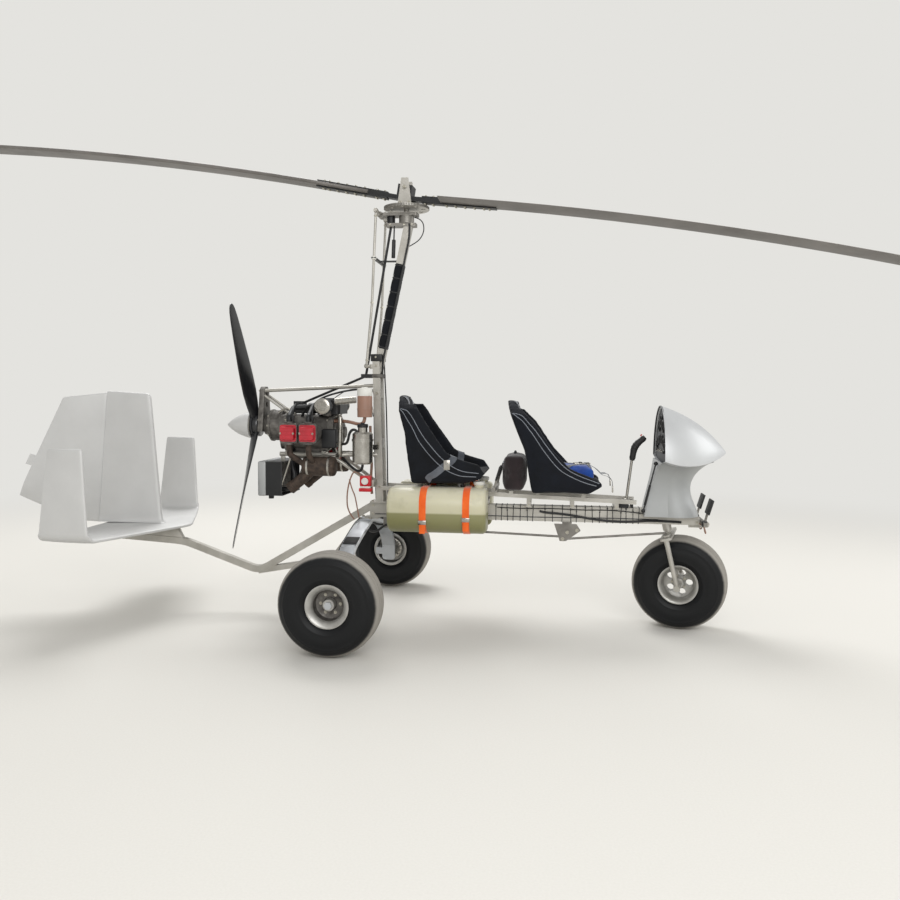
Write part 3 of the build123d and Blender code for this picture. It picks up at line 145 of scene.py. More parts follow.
def new_material(name):
    """Empty node material with its output, shader and Object coordinates ready."""
    material = bpy.data.materials.new(name)
    material.use_nodes = True
    tree = material.node_tree
    tree.nodes.clear()
    output = tree.nodes.new("ShaderNodeOutputMaterial")
    shader = tree.nodes.new("ShaderNodeBsdfPrincipled")
    tree.links.new(shader.outputs[0], output.inputs[0])
    coords = tree.nodes.new("ShaderNodeTexCoord").outputs["Object"]
    return material, tree, shader, coords


print("mid grey in linear light:", [round(v, 3) for v in linear("#808080")])

# %% [markdown]
# The stage is a very wide pale floor. A real studio hides the horizon with a curved wall, but a wall would
# stand in the way of pictures from behind. Here the floor's own colour fades to the colour of the
# surroundings a few metres out, so there is no line where they meet, and shadows still fall near the wheels.

# %% Floor and surroundings
PALE = "#e4e3df"
bpy.ops.object.select_all(action="DESELECT")
bpy.ops.mesh.primitive_circle_add(vertices=96, radius=120.0, fill_type="NGON", location=(0, 0, -0.001))
floor = bpy.context.object
floor.name = "studio_floor"

floor_paint, tree, shader, coords = new_material("pale_floor")
shader.inputs["Roughness"].default_value = 0.9
far = add_node(tree, "VectorMath", links={0: coords}, operation="LENGTH")
fade = add_node(tree, "MapRange", {"From Min": 3.4, "From Max": 9.5}, {"Value": far.outputs["Value"]},
                interpolation_type="SMOOTHERSTEP")
grit = noise(tree, coords, 9.0, 3.0)
tone = mix(tree, grit, "#d2d0ca", "#dbd9d4")
tree.links.new(tone, shader.inputs["Base Color"])
glow = add_node(tree, "Emission", {"Color": linear(PALE), "Strength": 1.0})
blend = add_node(tree, "MixShader", links={0: fade.outputs[0], 1: shader.outputs[0], 2: glow.outputs[0]})
tree.links.new(blend.outputs[0], tree.nodes["Material Output"].inputs[0])
floor.data.materials.append(floor_paint)

world = bpy.data.worlds.new("soft_sky")
bpy.context.scene.world = world
world.use_nodes = True
sky = world.node_tree
sky.nodes.clear()
seen = add_node(sky, "LightPath")
direct = add_node(sky, "Math", links={0: seen.outputs["Is Camera Ray"], 1: seen.outputs["Is Transmission Ray"]},
                  operation="MAXIMUM")
lamp_sky = add_node(sky, "Background", {"Color": linear("#f4f3f0"), "Strength": 0.66})
seen_sky = add_node(sky, "Background", {"Color": linear(PALE), "Strength": 1.0})
either = add_node(sky, "MixShader", links={0: direct.outputs[0], 1: lamp_sky.outputs[0], 2: seen_sky.outputs[0]})
add_node(sky, "OutputWorld", links={0: either.outputs[0]})

# %% [markdown]
# The light is that of a bright hazy day: a broad key from above and behind the port side, whose soft shadow
# falls towards the camera, and a wide fill from the camera's side that opens up the shaded starboard face.

# %% Lamps
lamp_table = (  # name, place, aims at, side length, power
    ("haze_key", (-2.5, 4.5, 8.0), (0.0, 0.0, 0.9), 5.0, 520.0),
    ("camera_fill", (2.5, -8.5, 5.0), (0.0, 0.0, 0.9), 6.0, 420.0),
    ("nose_fill", (7.5, 1.0, 4.0), (0.0, 0.0, 0.9), 4.0, 160.0),
)
for name, place, aim, side, power in lamp_table:
    bpy.ops.object.light_add(type="AREA", location=place)
    lamp = bpy.context.object
    lamp.name = name
    lamp.data.shape = "SQUARE"
    lamp.data.size = side
    lamp.data.energy = power
    lamp.rotation_euler = (Vector(aim) - Vector(place)).to_track_quat("-Z", "Y").to_euler()
bpy.context.scene.view_settings.view_transform = "Standard"
print("lamps:", len(lamp_table))

# %% [markdown]
# Most of the machine is metal: welded steel tube, sheet aluminium, cast cases and plated bolts. They share
# one build-up. A slow noise mixes two close tones, as handling and weather do, a fine one varies the
# roughness and gives a little relief, and a rounded normal compared with the true one finds the sharp edges,
# where the finish is rubbed brighter.

# %% Metals
EDGE_WEAR = 0.0025  # metres from an edge within which the finish is rubbed


def worn_metal(name, light, dark, metallic, roughness, patch_mm, grain_mm, relief_mm, rubbed=None, coat=0.0):
    """Metal with patchy tone, fine grain and brighter rubbed edges."""
    material, tree, shader, coords = new_material(name)
    shader.inputs["Metallic"].default_value = metallic
    shader.inputs["Coat Weight"].default_value = coat
    shader.inputs["Coat Roughness"].default_value = 0.2
    patches = noise(tree, coords, patch_mm, 5.0, Roughness=0.6)
    spread = add_node(tree, "MapRange", {"From Min": 0.3, "From Max": 0.7}, {"Value": patches})
    tone = mix(tree, spread.outputs[0], light, dark)
    grain = noise(tree, coords, grain_mm, 2.0)
    gloss = add_node(tree, "MapRange", {"To Min": roughness - 0.08, "To Max": roughness + 0.1}, {"Value": grain})
    tree.links.new(gloss.outputs[0], shader.inputs["Roughness"])
    relief = add_node(tree, "Bump", {"Strength": 0.5, "Distance": relief_mm / 1000}, {"Height": grain})
    tree.links.new(relief.outputs[0], shader.inputs["Normal"])
    colour = tone
    if rubbed:
        soft = add_node(tree, "Bevel", {"Radius": EDGE_WEAR}, samples=4)
        hard = add_node(tree, "NewGeometry")
        agree = add_node(tree, "VectorMath", links={0: soft.outputs[0], 1: hard.outputs["Normal"]},
                         operation="DOT_PRODUCT")
        edge = add_node(tree, "MapRange", {"From Min": 0.97, "From Max": 0.8, "To Max": 0.75},
                        {"Value": agree.outputs["Value"]})
        colour = mix(tree, edge.outputs[0], tone, rubbed)
    tree.links.new(colour, shader.inputs["Base Color"])
    return material


# silver enamel on glass fibre: bright, slightly pearly, with a thin clear coat
silver_enamel = worn_metal("silver_enamel", "#c9cbcc", "#bcbec0", 0.3, 0.46, 700, 1.2, 0.015, coat=0.25)
# the pedestal of the pod, a duller coat than the dome, and painted darker than the dome: painted shade from the dome
# above it
dull_enamel_painted_shade = worn_metal("dull_silver_enamel_painted_shade", "#aeb0b0", "#a0a2a2", 0.25, 0.52, 500, 1.2, 0.015)
# steel of the linkage, the head plates and the pedals, dulled by oil
dark_steel = worn_metal("oiled_steel_plate", "#8f8c86", "#6f6c67", 0.65, 0.45, 90, 1.5, 0.04, "#b5b2ab")
# anodised aluminium sheet of the fin, rudder and tailplane: pale and dry, with faint clouds from handling
tail_sheet = worn_metal("anodised_aluminium_sheet", "#cdcdcc", "#c1c1c0", 0.25, 0.5, 500, 1.5, 0.02, "#d6d8da")
# nickel-grey plated steel tube: satin and a little blotchy from weld heat
frame_tube = worn_metal("plated_steel_tube", "#bcb9b2", "#a29f97", 0.6, 0.42, 160, 1.5, 0.02, "#d6d3cc")
# polished spring leg: brighter and smoother than the frame
leg_alloy = worn_metal("polished_spring_alloy", "#c3c6ca", "#aeb2b6", 0.7, 0.33, 240, 2.0, 0.02, "#dcdee0")
# machined wheel alloy: bright turned face
rim_alloy = worn_metal("machined_wheel_alloy", "#bdbcb8", "#a3a19c", 0.65, 0.38, 60, 1.2, 0.03, "#d8d7d4")
# sand-cast engine alloy: dull grey, oily and dark in places, with a coarse cast skin
cast_alloy = worn_metal("sand_cast_alloy", "#7f7c77", "#4b4845", 0.7, 0.55, 35, 2.5, 0.25, "#a5a29c")
# stainless sheet: smooth, reflective
stainless = worn_metal("stainless_sheet", "#bdbab3", "#98948c", 0.95, 0.24, 90, 1.5, 0.02, "#dcdad5")
# black powder-coated steel: satin black that shows grey metal on its edges
black_coat = worn_metal("black_powder_coat", "#1d1e20", "#111213", 0.1, 0.45, 80, 1.2, 0.05, "#4d4e50")
# scaled exhaust steel: brown heat scale with a rough skin
heat_scale = worn_metal("heat_scaled_steel", "#584a40", "#2e2723", 0.35, 0.72, 28, 2.0, 0.4, "#7b6a5d")
# zinc-plated fasteners: pale and slightly yellow
zinc_plate = worn_metal("zinc_plated_steel", "#c0bcae", "#98948a", 0.9, 0.33, 12, 1.0, 0.02, "#dedacd")
# glossy red enamel on the rocker covers
red_enamel = worn_metal("red_stoved_enamel", "#c4162c", "#a01022", 0.15, 0.28, 70, 1.2, 0.03, "#e0485a", coat=0.6)
# weathered rotor blade skin: grey-brown, chalky, rain-marked
blade_skin = worn_metal("weathered_blade_skin", "#7e7a76", "#64605c", 0.35, 0.5, 300, 1.5, 0.012, "#95918d")
# black lacquered composite propeller
propeller_lacquer = worn_metal("black_lacquered_composite", "#141519", "#0b0c0e", 0.0, 0.3, 200, 1.2, 0.02, "#34363a",
                               coat=0.5)
print("metals:", len(bpy.data.materials))

# %% [markdown]
# Moulded plastic and rubber are one colour through and through, so only their gloss, a light orange-peel
# skin and some dust tell them from a plain colour.

# %% Plastics and rubber
def moulded(name, colour, dust, roughness, skin_mm, relief_mm):
    """Plastic or rubber with a fine moulded skin and patches of dust."""
    material, tree, shader, coords = new_material(name)
    shader.inputs["IOR"].default_value = 1.5
    skin = noise(tree, coords, skin_mm, 2.0)
    clouds = noise(tree, coords, 90.0, 6.0)
    dusty = add_node(tree, "MapRange", {"From Min": 0.45, "From Max": 0.8, "To Max": 0.6}, {"Value": clouds})
    tone = mix(tree, dusty.outputs[0], colour, dust)
    gloss = add_node(tree, "MapRange", {"To Min": roughness - 0.06, "To Max": roughness + 0.1}, {"Value": skin})
    relief = add_node(tree, "Bump", {"Strength": 0.4, "Distance": relief_mm / 1000}, {"Height": skin})
    for source, socket in ((tone, "Base Color"), (gloss.outputs[0], "Roughness"), (relief.outputs[0], "Normal")):
        tree.links.new(source, shader.inputs[socket])
    return material


hose_rubber = moulded("black_hose_rubber", "#131416", "#2b2b2b", 0.5, 1.5, 0.05)
grip_rubber = moulded("moulded_grip_rubber", "#151515", "#262626", 0.6, 1.2, 0.1)
panel_abs = moulded("textured_dark_panel", "#33363a", "#454749", 0.55, 1.0, 0.08)
white_nylon = moulded("white_nylon", "#d9d8d2", "#b9b6ab", 0.4, 2.0, 0.03)
red_plastic = moulded("red_plastic_housing", "#c3131e", "#8e1119", 0.35, 2.0, 0.03)
pink_silicone = moulded("faded_brown_silicone_hose", "#93705f", "#7a6155", 0.5, 2.0, 0.05)

# %% [markdown]
# The fuel tanks are blow-moulded polyethylene, thin enough for daylight to show the fuel inside as a darker
# band. The level is a plane, so the height of a point alone decides the tone, with a soft step at the
# surface. Below and above that step, the wall is also painted darker towards the bottom and lighter towards the
# top: painted shade and painted light, as if daylight fell in from above. Faint horizontal ridges come from the mould.

# %% Tank plastic
FUEL_LEVEL, TANK_LOW, TANK_HIGH = 0.722, 0.592, 0.872  # heights in metres
tank_plastic, tree, shader, coords = new_material("blow_moulded_polyethylene")
shader.inputs["IOR"].default_value = 1.5
shader.inputs["Roughness"].default_value = 0.38
shader.inputs["Subsurface Weight"].default_value = 0.15
shader.inputs["Subsurface Radius"].default_value = (0.02, 0.018, 0.01)
place = add_node(tree, "SeparateXYZ", links={0: coords})
level_step = add_node(tree, "MapRange", {"From Min": FUEL_LEVEL - 0.006, "From Max": FUEL_LEVEL + 0.008},
                      {"Value": place.outputs["Z"]}, interpolation_type="SMOOTHSTEP")
# depth is only the share of height from TANK_LOW to TANK_HIGH; it paints the wall darker low down and lighter high up,
# as painted shade and painted light
depth = add_node(tree, "MapRange", {"From Min": TANK_LOW, "From Max": TANK_HIGH}, {"Value": place.outputs["Z"]})
fuel_band_painted_light_and_shade = mix(tree, depth.outputs[0], "#7d7c52", "#96946a")
air_band_painted_light_and_shade = mix(tree, depth.outputs[0], "#b4b08a", "#d0ccb6")
tank_wall_painted_light_and_shade = mix(tree, level_step.outputs[0], fuel_band_painted_light_and_shade, air_band_painted_light_and_shade)
cloud = noise(tree, coords, 70.0, 4.0)
soiled = add_node(tree, "MapRange", {"From Min": 0.5, "From Max": 0.85, "To Max": 0.35}, {"Value": cloud})
stained_tank_wall_painted_light = mix(tree, soiled.outputs[0], tank_wall_painted_light_and_shade, "#8d8768")
tree.links.new(stained_tank_wall_painted_light, shader.inputs["Base Color"])
ridges = add_node(tree, "TexWave", {"Scale": wave_mm(90), "Distortion": 0.6}, {"Vector": coords}, bands_direction="Z")
relief = add_node(tree, "Bump", {"Strength": 0.25, "Distance": 0.0015}, {"Height": ridges.outputs["Fac"]})
tree.links.new(relief.outputs[0], shader.inputs["Normal"])

# %% [markdown]
# Cloth is threads over and under each other. At this distance single threads vanish, so the weave is drawn
# at the scale of a coarse canvas, and what reads as fabric is the sheen at grazing angles, faded patches and
# the slight relief. The two thread directions are two diagonal waves, which show on faces of any direction.

# %% Fabrics
def woven(name, thread, faded, weave_mm, sheen, roughness=0.85):
    """Woven cloth with crossed threads, faded patches and sheen."""
    material, tree, shader, coords = new_material(name)
    shader.inputs["Roughness"].default_value = roughness
    shader.inputs["IOR"].default_value = 1.36  # below solid nylon: light is lost between the threads
    shader.inputs["Sheen Weight"].default_value = sheen
    shader.inputs["Sheen Roughness"].default_value = 0.5
    mirrored = add_node(tree, "Mapping", {"Scale": (-1.0, 1.0, 1.0)}, {"Vector": coords})
    warp = add_node(tree, "TexWave", {"Scale": wave_mm(weave_mm)}, {"Vector": coords}, bands_direction="DIAGONAL")
    weft = add_node(tree, "TexWave", {"Scale": wave_mm(weave_mm)}, {"Vector": mirrored.outputs[0]},
                    bands_direction="DIAGONAL")
    cross = add_node(tree, "Math", links={0: warp.outputs["Fac"], 1: weft.outputs["Fac"]}, operation="MULTIPLY")
    wash = noise(tree, coords, 110.0, 6.0, Roughness=0.65)
    worn = add_node(tree, "MapRange", {"From Min": 0.35, "From Max": 0.75}, {"Value": wash})
    lit = add_node(tree, "Math", {1: 0.25}, {0: cross.outputs[0], 2: worn.outputs[0]}, operation="MULTIPLY_ADD")
    tone = mix(tree, lit.outputs[0], thread, faded)
    tree.links.new(tone, shader.inputs["Base Color"])
    crease = noise(tree, coords, 45.0, 3.0, Distortion=0.8)
    folds = add_node(tree, "Bump", {"Strength": 0.35, "Distance": 0.004}, {"Height": crease})
    threads = add_node(tree, "Bump", {"Strength": 0.5, "Distance": weave_mm / 4000},
                       {"Height": cross.outputs[0], "Normal": folds.outputs[0]})
    tree.links.new(threads.outputs[0], shader.inputs["Normal"])
    return material


seat_canvas = woven("navy_nylon_canvas", "#05080f", "#0e131d", 3.0, 0.04)
rear_canvas = woven("black_nylon_canvas", "#06080d", "#10141c", 3.0, 0.04)
piping_tape = woven("grey_piping_tape", "#6b7078", "#8b9098", 2.5, 0.3)
harness_web = woven("grey_harness_webbing", "#4a4e55", "#6d7178", 2.5, 0.3)
blue_cotton = woven("blue_cotton_cover", "#12337c", "#2452a8", 2.5, 0.25)
bag_cloth = woven("brown_black_bag_cloth", "#1f1719", "#33282a", 3.5, 0.4)
orange_web = woven("orange_polyester_webbing", "#e2560f", "#f2722a", 3.0, 0.3, 0.7)
print("materials so far:", len(bpy.data.materials))

# %% [markdown]
# The solids that already have the right shape only need their finish. A table names the finish of each.

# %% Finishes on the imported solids
finishes = {
    silver_enamel: ("pod_shell",),
    dull_enamel_painted_shade: ("pod_pedestal",),
    dark_steel: ("steering_linkage", "rotor_head", "pedals"),
    tail_sheet: ("tailplane", "fin", "rudder", "spinner"),
    frame_tube: ("keel", "seat_rails", "mast_lower", "mast_upper", "tail_boom", "engine_mount", "control_rods",
                 "fork", "rotor_tower"),
    leg_alloy: ("gear_legs",),
    rim_alloy: ("rim_nose", "rim_left", "rim_right"),
    cast_alloy: ("crankcase", "cylinders", "gearbox"),
    stainless: ("oil_tank",),
    black_coat: ("radiator", "hub_bar", "intake", "prerotator"),
    heat_scale: ("exhaust",),
    red_enamel: ("rocker_covers",),
    blade_skin: ("rotor_blades",),
    propeller_lacquer: ("propeller",),
    grip_rubber: ("control_stick",),
    panel_abs: ("instrument_panel",),
    tank_plastic: ("fuel_tanks",),
    orange_web: ("tank_straps",),
}
for material, names in finishes.items():
    for name in names:
        if name in frame["nodes"]:
            mesh = frame["nodes"][name].data
            mesh.materials.clear()
            mesh.materials.append(material)
print("finished solids:", sum(len(n) for n in finishes.values()))

# %% [markdown]
# Modelling by hand always repeats the same few moves: put everything down, pick one thing up, work on it,
# then fix its place in its mesh, smooth it, give it a finish and hang it on the body it moves with.

# %% Helpers for modelling
MERGE = 0.00002  # metres within which two points are one


def put_down():
    """Leave edit mode and select nothing."""
    if bpy.context.object and bpy.context.object.mode != "OBJECT":
        bpy.ops.object.mode_set(mode="OBJECT")
    bpy.ops.object.select_all(action="DESELECT")


def pick_up(piece):
    """Select one piece alone and make it active."""
    put_down()
    piece.select_set(True)
    bpy.context.view_layer.objects.active = piece


def edit_all(piece):
    """Enter edit mode on one piece with all of it selected."""
    pick_up(piece)
    bpy.ops.object.mode_set(mode="EDIT")
    bpy.ops.mesh.select_all(action="SELECT")


def fix_place(piece):
    """Write a piece's place, turn and size into its mesh."""
    pick_up(piece)
    bpy.ops.object.transform_apply(location=True, rotation=True, scale=True)


def apply_modifier(piece, kind, **settings):
    """Add a modifier to a piece, set it and apply it."""
    pick_up(piece)
    bpy.ops.object.modifier_add(type=kind)
    modifier = piece.modifiers[-1]
    for key, value in settings.items():
        setattr(modifier, key, value)
    bpy.ops.object.modifier_apply(modifier=modifier.name)


def close_up(piece):
    """Merge doubled points and turn the faces of a closed piece outwards."""
    edit_all(piece)
    bpy.ops.mesh.remove_doubles(threshold=MERGE)
    bpy.ops.mesh.normals_make_consistent(inside=False)
    bpy.ops.object.mode_set(mode="OBJECT")


def hand_over(piece, name, material, smooth=35, body="airframe"):
    """Fix the piece's place in its mesh, smooth it, finish it and hang it on its body."""
    fix_place(piece)
    bpy.ops.object.shade_smooth_by_angle(angle=radians(smooth))
    piece.name = name
    piece.data.name = name
    piece.data.materials.clear()
    piece.data.materials.append(material)
    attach(piece, body)
    return piece


def lathe(profile, steps=64):
    """Turn a profile of (radius, along) points in mm about the Y axis into a piece at the origin."""
    put_down()
    bpy.ops.mesh.primitive_circle_add(vertices=3, radius=0.001, location=(0, 0, 0))
    piece = bpy.context.object
    edit_all(piece)
    bpy.ops.mesh.merge(type="CENTER")
    bpy.ops.transform.translate(value=(profile[0][0] / 1000, profile[0][1] / 1000, 0))
    for (r0, a0), (r1, a1) in zip(profile, profile[1:]):
        bpy.ops.mesh.extrude_vertices_move(TRANSFORM_OT_translate={"value": ((r1 - r0) / 1000, (a1 - a0) / 1000, 0)})
    bpy.ops.mesh.select_all(action="SELECT")
    bpy.ops.mesh.spin(steps=steps, angle=2 * pi, center=(0, 0, 0), axis=(0, 1, 0))
    bpy.ops.object.mode_set(mode="OBJECT")
    close_up(piece)
    return piece


def shift(place):
    """Matrix that moves by a place in mm."""
    return Matrix.Translation(Vector(place) / 1000)


def aim(piece, place, direction, twist=0.0):
    """Move a piece from the origin to a place in mm, its Y axis turned along a direction."""
    turn = Vector((0, 1, 0)).rotation_difference(Vector(direction)).to_matrix().to_4x4()
    piece.matrix_world = shift(place) @ turn @ Matrix.Rotation(twist, 4, "Y")
    bpy.context.view_layer.update()


print("helpers ready")

# %% [markdown]
# The tyres are low-pressure balloon tyres: the sidewalls bulge past the rim and roll into a wide tread that
# the apron has dusted grey, while the sidewalls stay black. Each is a profile turned about the axle, the
# quick and exact way to make anything round. The grooves in the tread are steps in that profile.

# %% Tyre rubber
tyre_rubber, tree, shader, coords = new_material("balloon_tyre_rubber")
shader.inputs["IOR"].default_value = 1.38  # below solid rubber: the pores of the sidewall swallow most of the shine
tread = add_node(tree, "Attribute", attribute_name="tread")
smear = noise(tree, coords, 60.0, 6.0, Roughness=0.7)
uneven = add_node(tree, "Math", {1: 0.35}, {0: smear, 2: tread.outputs["Fac"]}, operation="MULTIPLY_ADD")
dusted = add_node(tree, "MapRange", {"From Min": 0.3, "From Max": 0.95, "To Max": 0.9}, {"Value": uneven.outputs[0]},
                  interpolation_type="SMOOTHSTEP")
tone = mix(tree, dusted.outputs[0], "#06080b", "#98948d")
gloss = add_node(tree, "MapRange", {"To Min": 0.5, "To Max": 0.9}, {"Value": dusted.outputs[0]})
pores = noise(tree, coords, 3.0, 3.0)
relief = add_node(tree, "Bump", {"Strength": 0.4, "Distance": 0.0004}, {"Height": pores})
for source, socket in ((tone, "Base Color"), (gloss.outputs[0], "Roughness"), (relief.outputs[0], "Normal")):
    tree.links.new(source, shader.inputs[socket])

# %% Tyres
outer_wall = (  # radius and distance from the middle plane, from bead to tread, in mm
    (109.5, 78),
    (123.5, 90.5),
    (127, 96.5),
    (134, 104.5),
    (150, 111.5),
    (152, 113),
    (156, 113),
    (158, 112.8),
    (176, 116.5),
    (196, 117.8),
    (216, 116.5),
    (234, 112.5),
    (236, 113.2),
    (240, 112.2),
    (241, 110.8),
    (254, 103.5),
    (266, 93.5),
    (276, 80),
    (283, 64),
    (283.5, 64),
    (286.2, 55.5),
    (283.5, 54.5),
    (283.5, 50),
    (287, 49),
    (288.8, 35),
    (289, 23),
    (286.2, 22),
    (286.2, 17.5),
    (289.7, 16.5),
    (290, 0),
)
profile = list(outer_wall) + [(r, -a) for r, a in reversed(outer_wall[:-1])]
profile += [(255, -95), (268, -60), (272, 0), (268, 60), (255, 95), profile[0]]
TREAD_START, TREAD_BLEND = 0.262, 0.022  # radius in metres where dust begins, and how far it takes to be full
master_tyre = lathe(profile, steps=128)
mesh = master_tyre.data
tread_mask = mesh.attributes.new("tread", "FLOAT", "POINT")
for point, value in zip(mesh.vertices, tread_mask.data):
    radius = Vector((point.co.x, point.co.z)).length
    value.value = min(1.0, max(0.0, (radius - TREAD_START) / TREAD_BLEND))
sides = {"port": 1, "starboard": -1}
left_right = (1, -1)
wheels = {"nose": "nose_wheel", "left": "main_wheel_left", "right": "main_wheel_right"}
for side, body in wheels.items():
    tyre = master_tyre.copy()
    tyre.data = master_tyre.data.copy()
    bpy.context.scene.collection.objects.link(tyre)
    aim(tyre, *joints[body + "_spin"])
    hand_over(tyre, f"balloon_tyre_{side}", tyre_rubber, 50, body=body)
    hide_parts(f"tyre_{side}")
print("tyre faces:", len(mesh.polygons))
bpy.data.objects.remove(master_tyre)

# %% [markdown]
# Padded fabric takes its shape from the stuffing that pushes it out and the seams that hold it in. A plain
# form is rebuilt in even squares, and a short cloth run blows it up a little. Every point is then kept
# within a few millimetres of where it began, so the piece stays in its place on the frame.

# %% Padding by cloth simulation
CLOTH_STEPS = 20


def pad_out(soft, name, voxel_mm, reach_mm, pressure, shrink_mm):
    """Turn a plain form into a soft one, puffed up by cloth pressure within a set reach."""
    close_up(soft)
    edit_all(soft)
    bpy.ops.transform.shrink_fatten(value=-shrink_mm / 1000)
    bpy.ops.object.mode_set(mode="OBJECT")
    apply_modifier(soft, "REMESH", mode="VOXEL", voxel_size=voxel_mm / 1000)
    apply_modifier(soft, "SMOOTH", factor=0.5, iterations=6)
    start = [v.co.copy() for v in soft.data.vertices]
    pick_up(soft)
    bpy.ops.object.modifier_add(type="CLOTH")
    cloth = soft.modifiers[-1]
    for key, value in (("quality", 4), ("mass", 0.2), ("use_pressure", True),
                       ("uniform_pressure_force", pressure), ("tension_stiffness", 12.0),
                       ("shear_stiffness", 6.0), ("bending_stiffness", 1.5)):
        setattr(cloth.settings, key, value)
    cloth.settings.effector_weights.gravity = 0.0
    cloth.point_cache.frame_start = 1
    cloth.point_cache.frame_end = CLOTH_STEPS
    for step in range(1, CLOTH_STEPS + 1):
        bpy.context.scene.frame_set(step)
    bpy.ops.object.modifier_apply(modifier=cloth.name)
    bpy.context.scene.frame_set(1)
    for vertex, was in zip(soft.data.vertices, start):
        move = vertex.co - was
        if move.length > reach_mm / 1000:
            vertex.co = was + move.normalized() * reach_mm / 1000
    apply_modifier(soft, "SMOOTH", factor=0.5, iterations=3)
    apply_modifier(soft, "SUBSURF", levels=1, render_levels=1)
    print(name, "points", len(soft.data.vertices))
    return soft


# %% [markdown]
# Thin shells such as fins are built on the real machine as a skin over ribs, and the same idea works here. A
# flat grid has its rows moved onto the ribs one by one, its seam is merged and its two ends are filled. Hoses
# follow a smooth curve with a round bevel. Fasteners are modelled once and copied, each copy with its own mesh.

# %% Lofts, hoses and copies
def loft(rings, fill=True):
    """Skin over rings of equally many points in mm."""
    put_down()
    bpy.ops.mesh.primitive_grid_add(x_subdivisions=len(rings[0]), y_subdivisions=len(rings) - 1, size=1.0,
                                    location=(0, 0, 0))
    piece = bpy.context.object
    spots = [spot for ring in rings for spot in (*ring, ring[0])]
    for vertex, spot in zip(piece.data.vertices, spots):
        vertex.co = Vector(spot) / 1000
    edit_all(piece)
    bpy.ops.mesh.remove_doubles(threshold=MERGE)
    if fill:
        bpy.ops.mesh.select_all(action="SELECT")
        bpy.ops.mesh.fill_holes(sides=0)
    bpy.ops.mesh.select_all(action="SELECT")
    bpy.ops.mesh.normals_make_consistent(inside=False)
    bpy.ops.object.mode_set(mode="OBJECT")
    return piece


def section(nose, tail, across, profile, swell=1.0):
    """Closed ring between two points; profile rows are chord share, offset and half thickness."""
    nose, tail, across = Vector(nose), Vector(tail), Vector(across)
    chord = (tail - nose).normalized()
    side = [(nose.lerp(tail, share) + chord * offset, across * (swell * half)) for share, offset, half in profile]
    return [spot + rise for spot, rise in side] + [spot - rise for spot, rise in reversed(side) if rise.length > 0]


def hose(points, diameter_mm, smooth=6):
    """Bent tube along a smooth curve near the points in mm, with closed ends."""
    put_down()
    bpy.ops.curve.primitive_nurbs_path_add(location=(0, 0, 0))
    piece = bpy.context.object
    line = piece.data
    line.splines.clear()
    run = line.splines.new("NURBS")
    run.points.add(len(points) - 1)
    for point, place in zip(run.points, points):
        point.co = (*(Vector(place) / 1000), 1.0)
    run.order_u = 3
    run.use_endpoint_u = True
    line.resolution_u = smooth
    line.bevel_depth = diameter_mm / 2000
    line.bevel_resolution = 3
    line.use_fill_caps = True
    pick_up(piece)
    bpy.ops.object.convert(target="MESH")
    close_up(piece)
    return piece


def duplicate(master, place, direction=(0, 1, 0), twist=0.0, size=1.0):
    """Copy with its own mesh, its Y axis aimed along a direction."""
    twin = master.copy()
    twin.data = master.data.copy()
    bpy.context.scene.collection.objects.link(twin)
    aim(twin, place, direction, twist)
    twin.matrix_world = twin.matrix_world @ Matrix.Scale(size, 4)
    return twin


def ring_of(piece, count, axis):
    """Repeat a piece round an axis through the origin, in its own mesh."""
    fix_place(piece)
    edit_all(piece)
    bpy.ops.mesh.spin(steps=count - 1, dupli=True, angle=2 * pi * (count - 1) / count, center=(0, 0, 0), axis=axis)
    bpy.ops.object.mode_set(mode="OBJECT")


def gather(pieces):
    """Join pieces into one."""
    put_down()
    for piece in pieces:
        piece.select_set(True)
    bpy.context.view_layer.objects.active = pieces[0]
    bpy.ops.object.join()
    return bpy.context.object


def block(size_mm, place, bevel_mm=3.0, segments=2, turn=None):
    """Box with rounded edges, sizes in mm, turned by a matrix if one is given."""
    put_down()
    bpy.ops.mesh.primitive_cube_add(size=1.0, location=(0, 0, 0))
    piece = bpy.context.object
    piece.dimensions = [side / 1000 for side in size_mm]
    bpy.ops.object.transform_apply(location=False, rotation=False, scale=True)
    apply_modifier(piece, "BEVEL", width=bevel_mm / 1000, segments=segments, limit_method="NONE")
    piece.matrix_world = shift(place) @ (turn or Matrix.Identity(4))
    bpy.context.view_layer.update()
    return piece


def cut_plate(outline, thick_mm, place, facing, bevel_mm=1.0):
    """Flat plate of an outline in mm (x across, z up before it is turned to face a direction)."""
    put_down()
    bpy.ops.mesh.primitive_circle_add(vertices=len(outline), radius=1.0, fill_type="NGON", location=(0, 0, 0))
    piece = bpy.context.object
    for vertex, (x, z) in zip(piece.data.vertices, outline):
        vertex.co = (x / 1000, 0, z / 1000)
    apply_modifier(piece, "SOLIDIFY", thickness=thick_mm / 1000, offset=0.0)
    close_up(piece)
    apply_modifier(piece, "BEVEL", width=bevel_mm / 1000, segments=2, limit_method="ANGLE")
    aim(piece, place, facing)
    return piece


put_down()
bpy.ops.mesh.primitive_cylinder_add(vertices=6, radius=0.0075, depth=0.0055, location=(0, 0, 0.0043))
master_bolt = bpy.context.object
fix_place(master_bolt)
apply_modifier(master_bolt, "BEVEL", width=0.0008, segments=1, limit_method="ANGLE")
bpy.ops.mesh.primitive_cylinder_add(vertices=16, radius=0.0088, depth=0.0016, location=(0, 0, 0.0008))
master_bolt = gather([master_bolt, bpy.context.object])
master_bolt.matrix_world = Matrix.Rotation(-pi / 2, 4, "X")
fix_place(master_bolt)
print("bolt reaches y", round(max(v.co.y for v in master_bolt.data.vertices), 4))


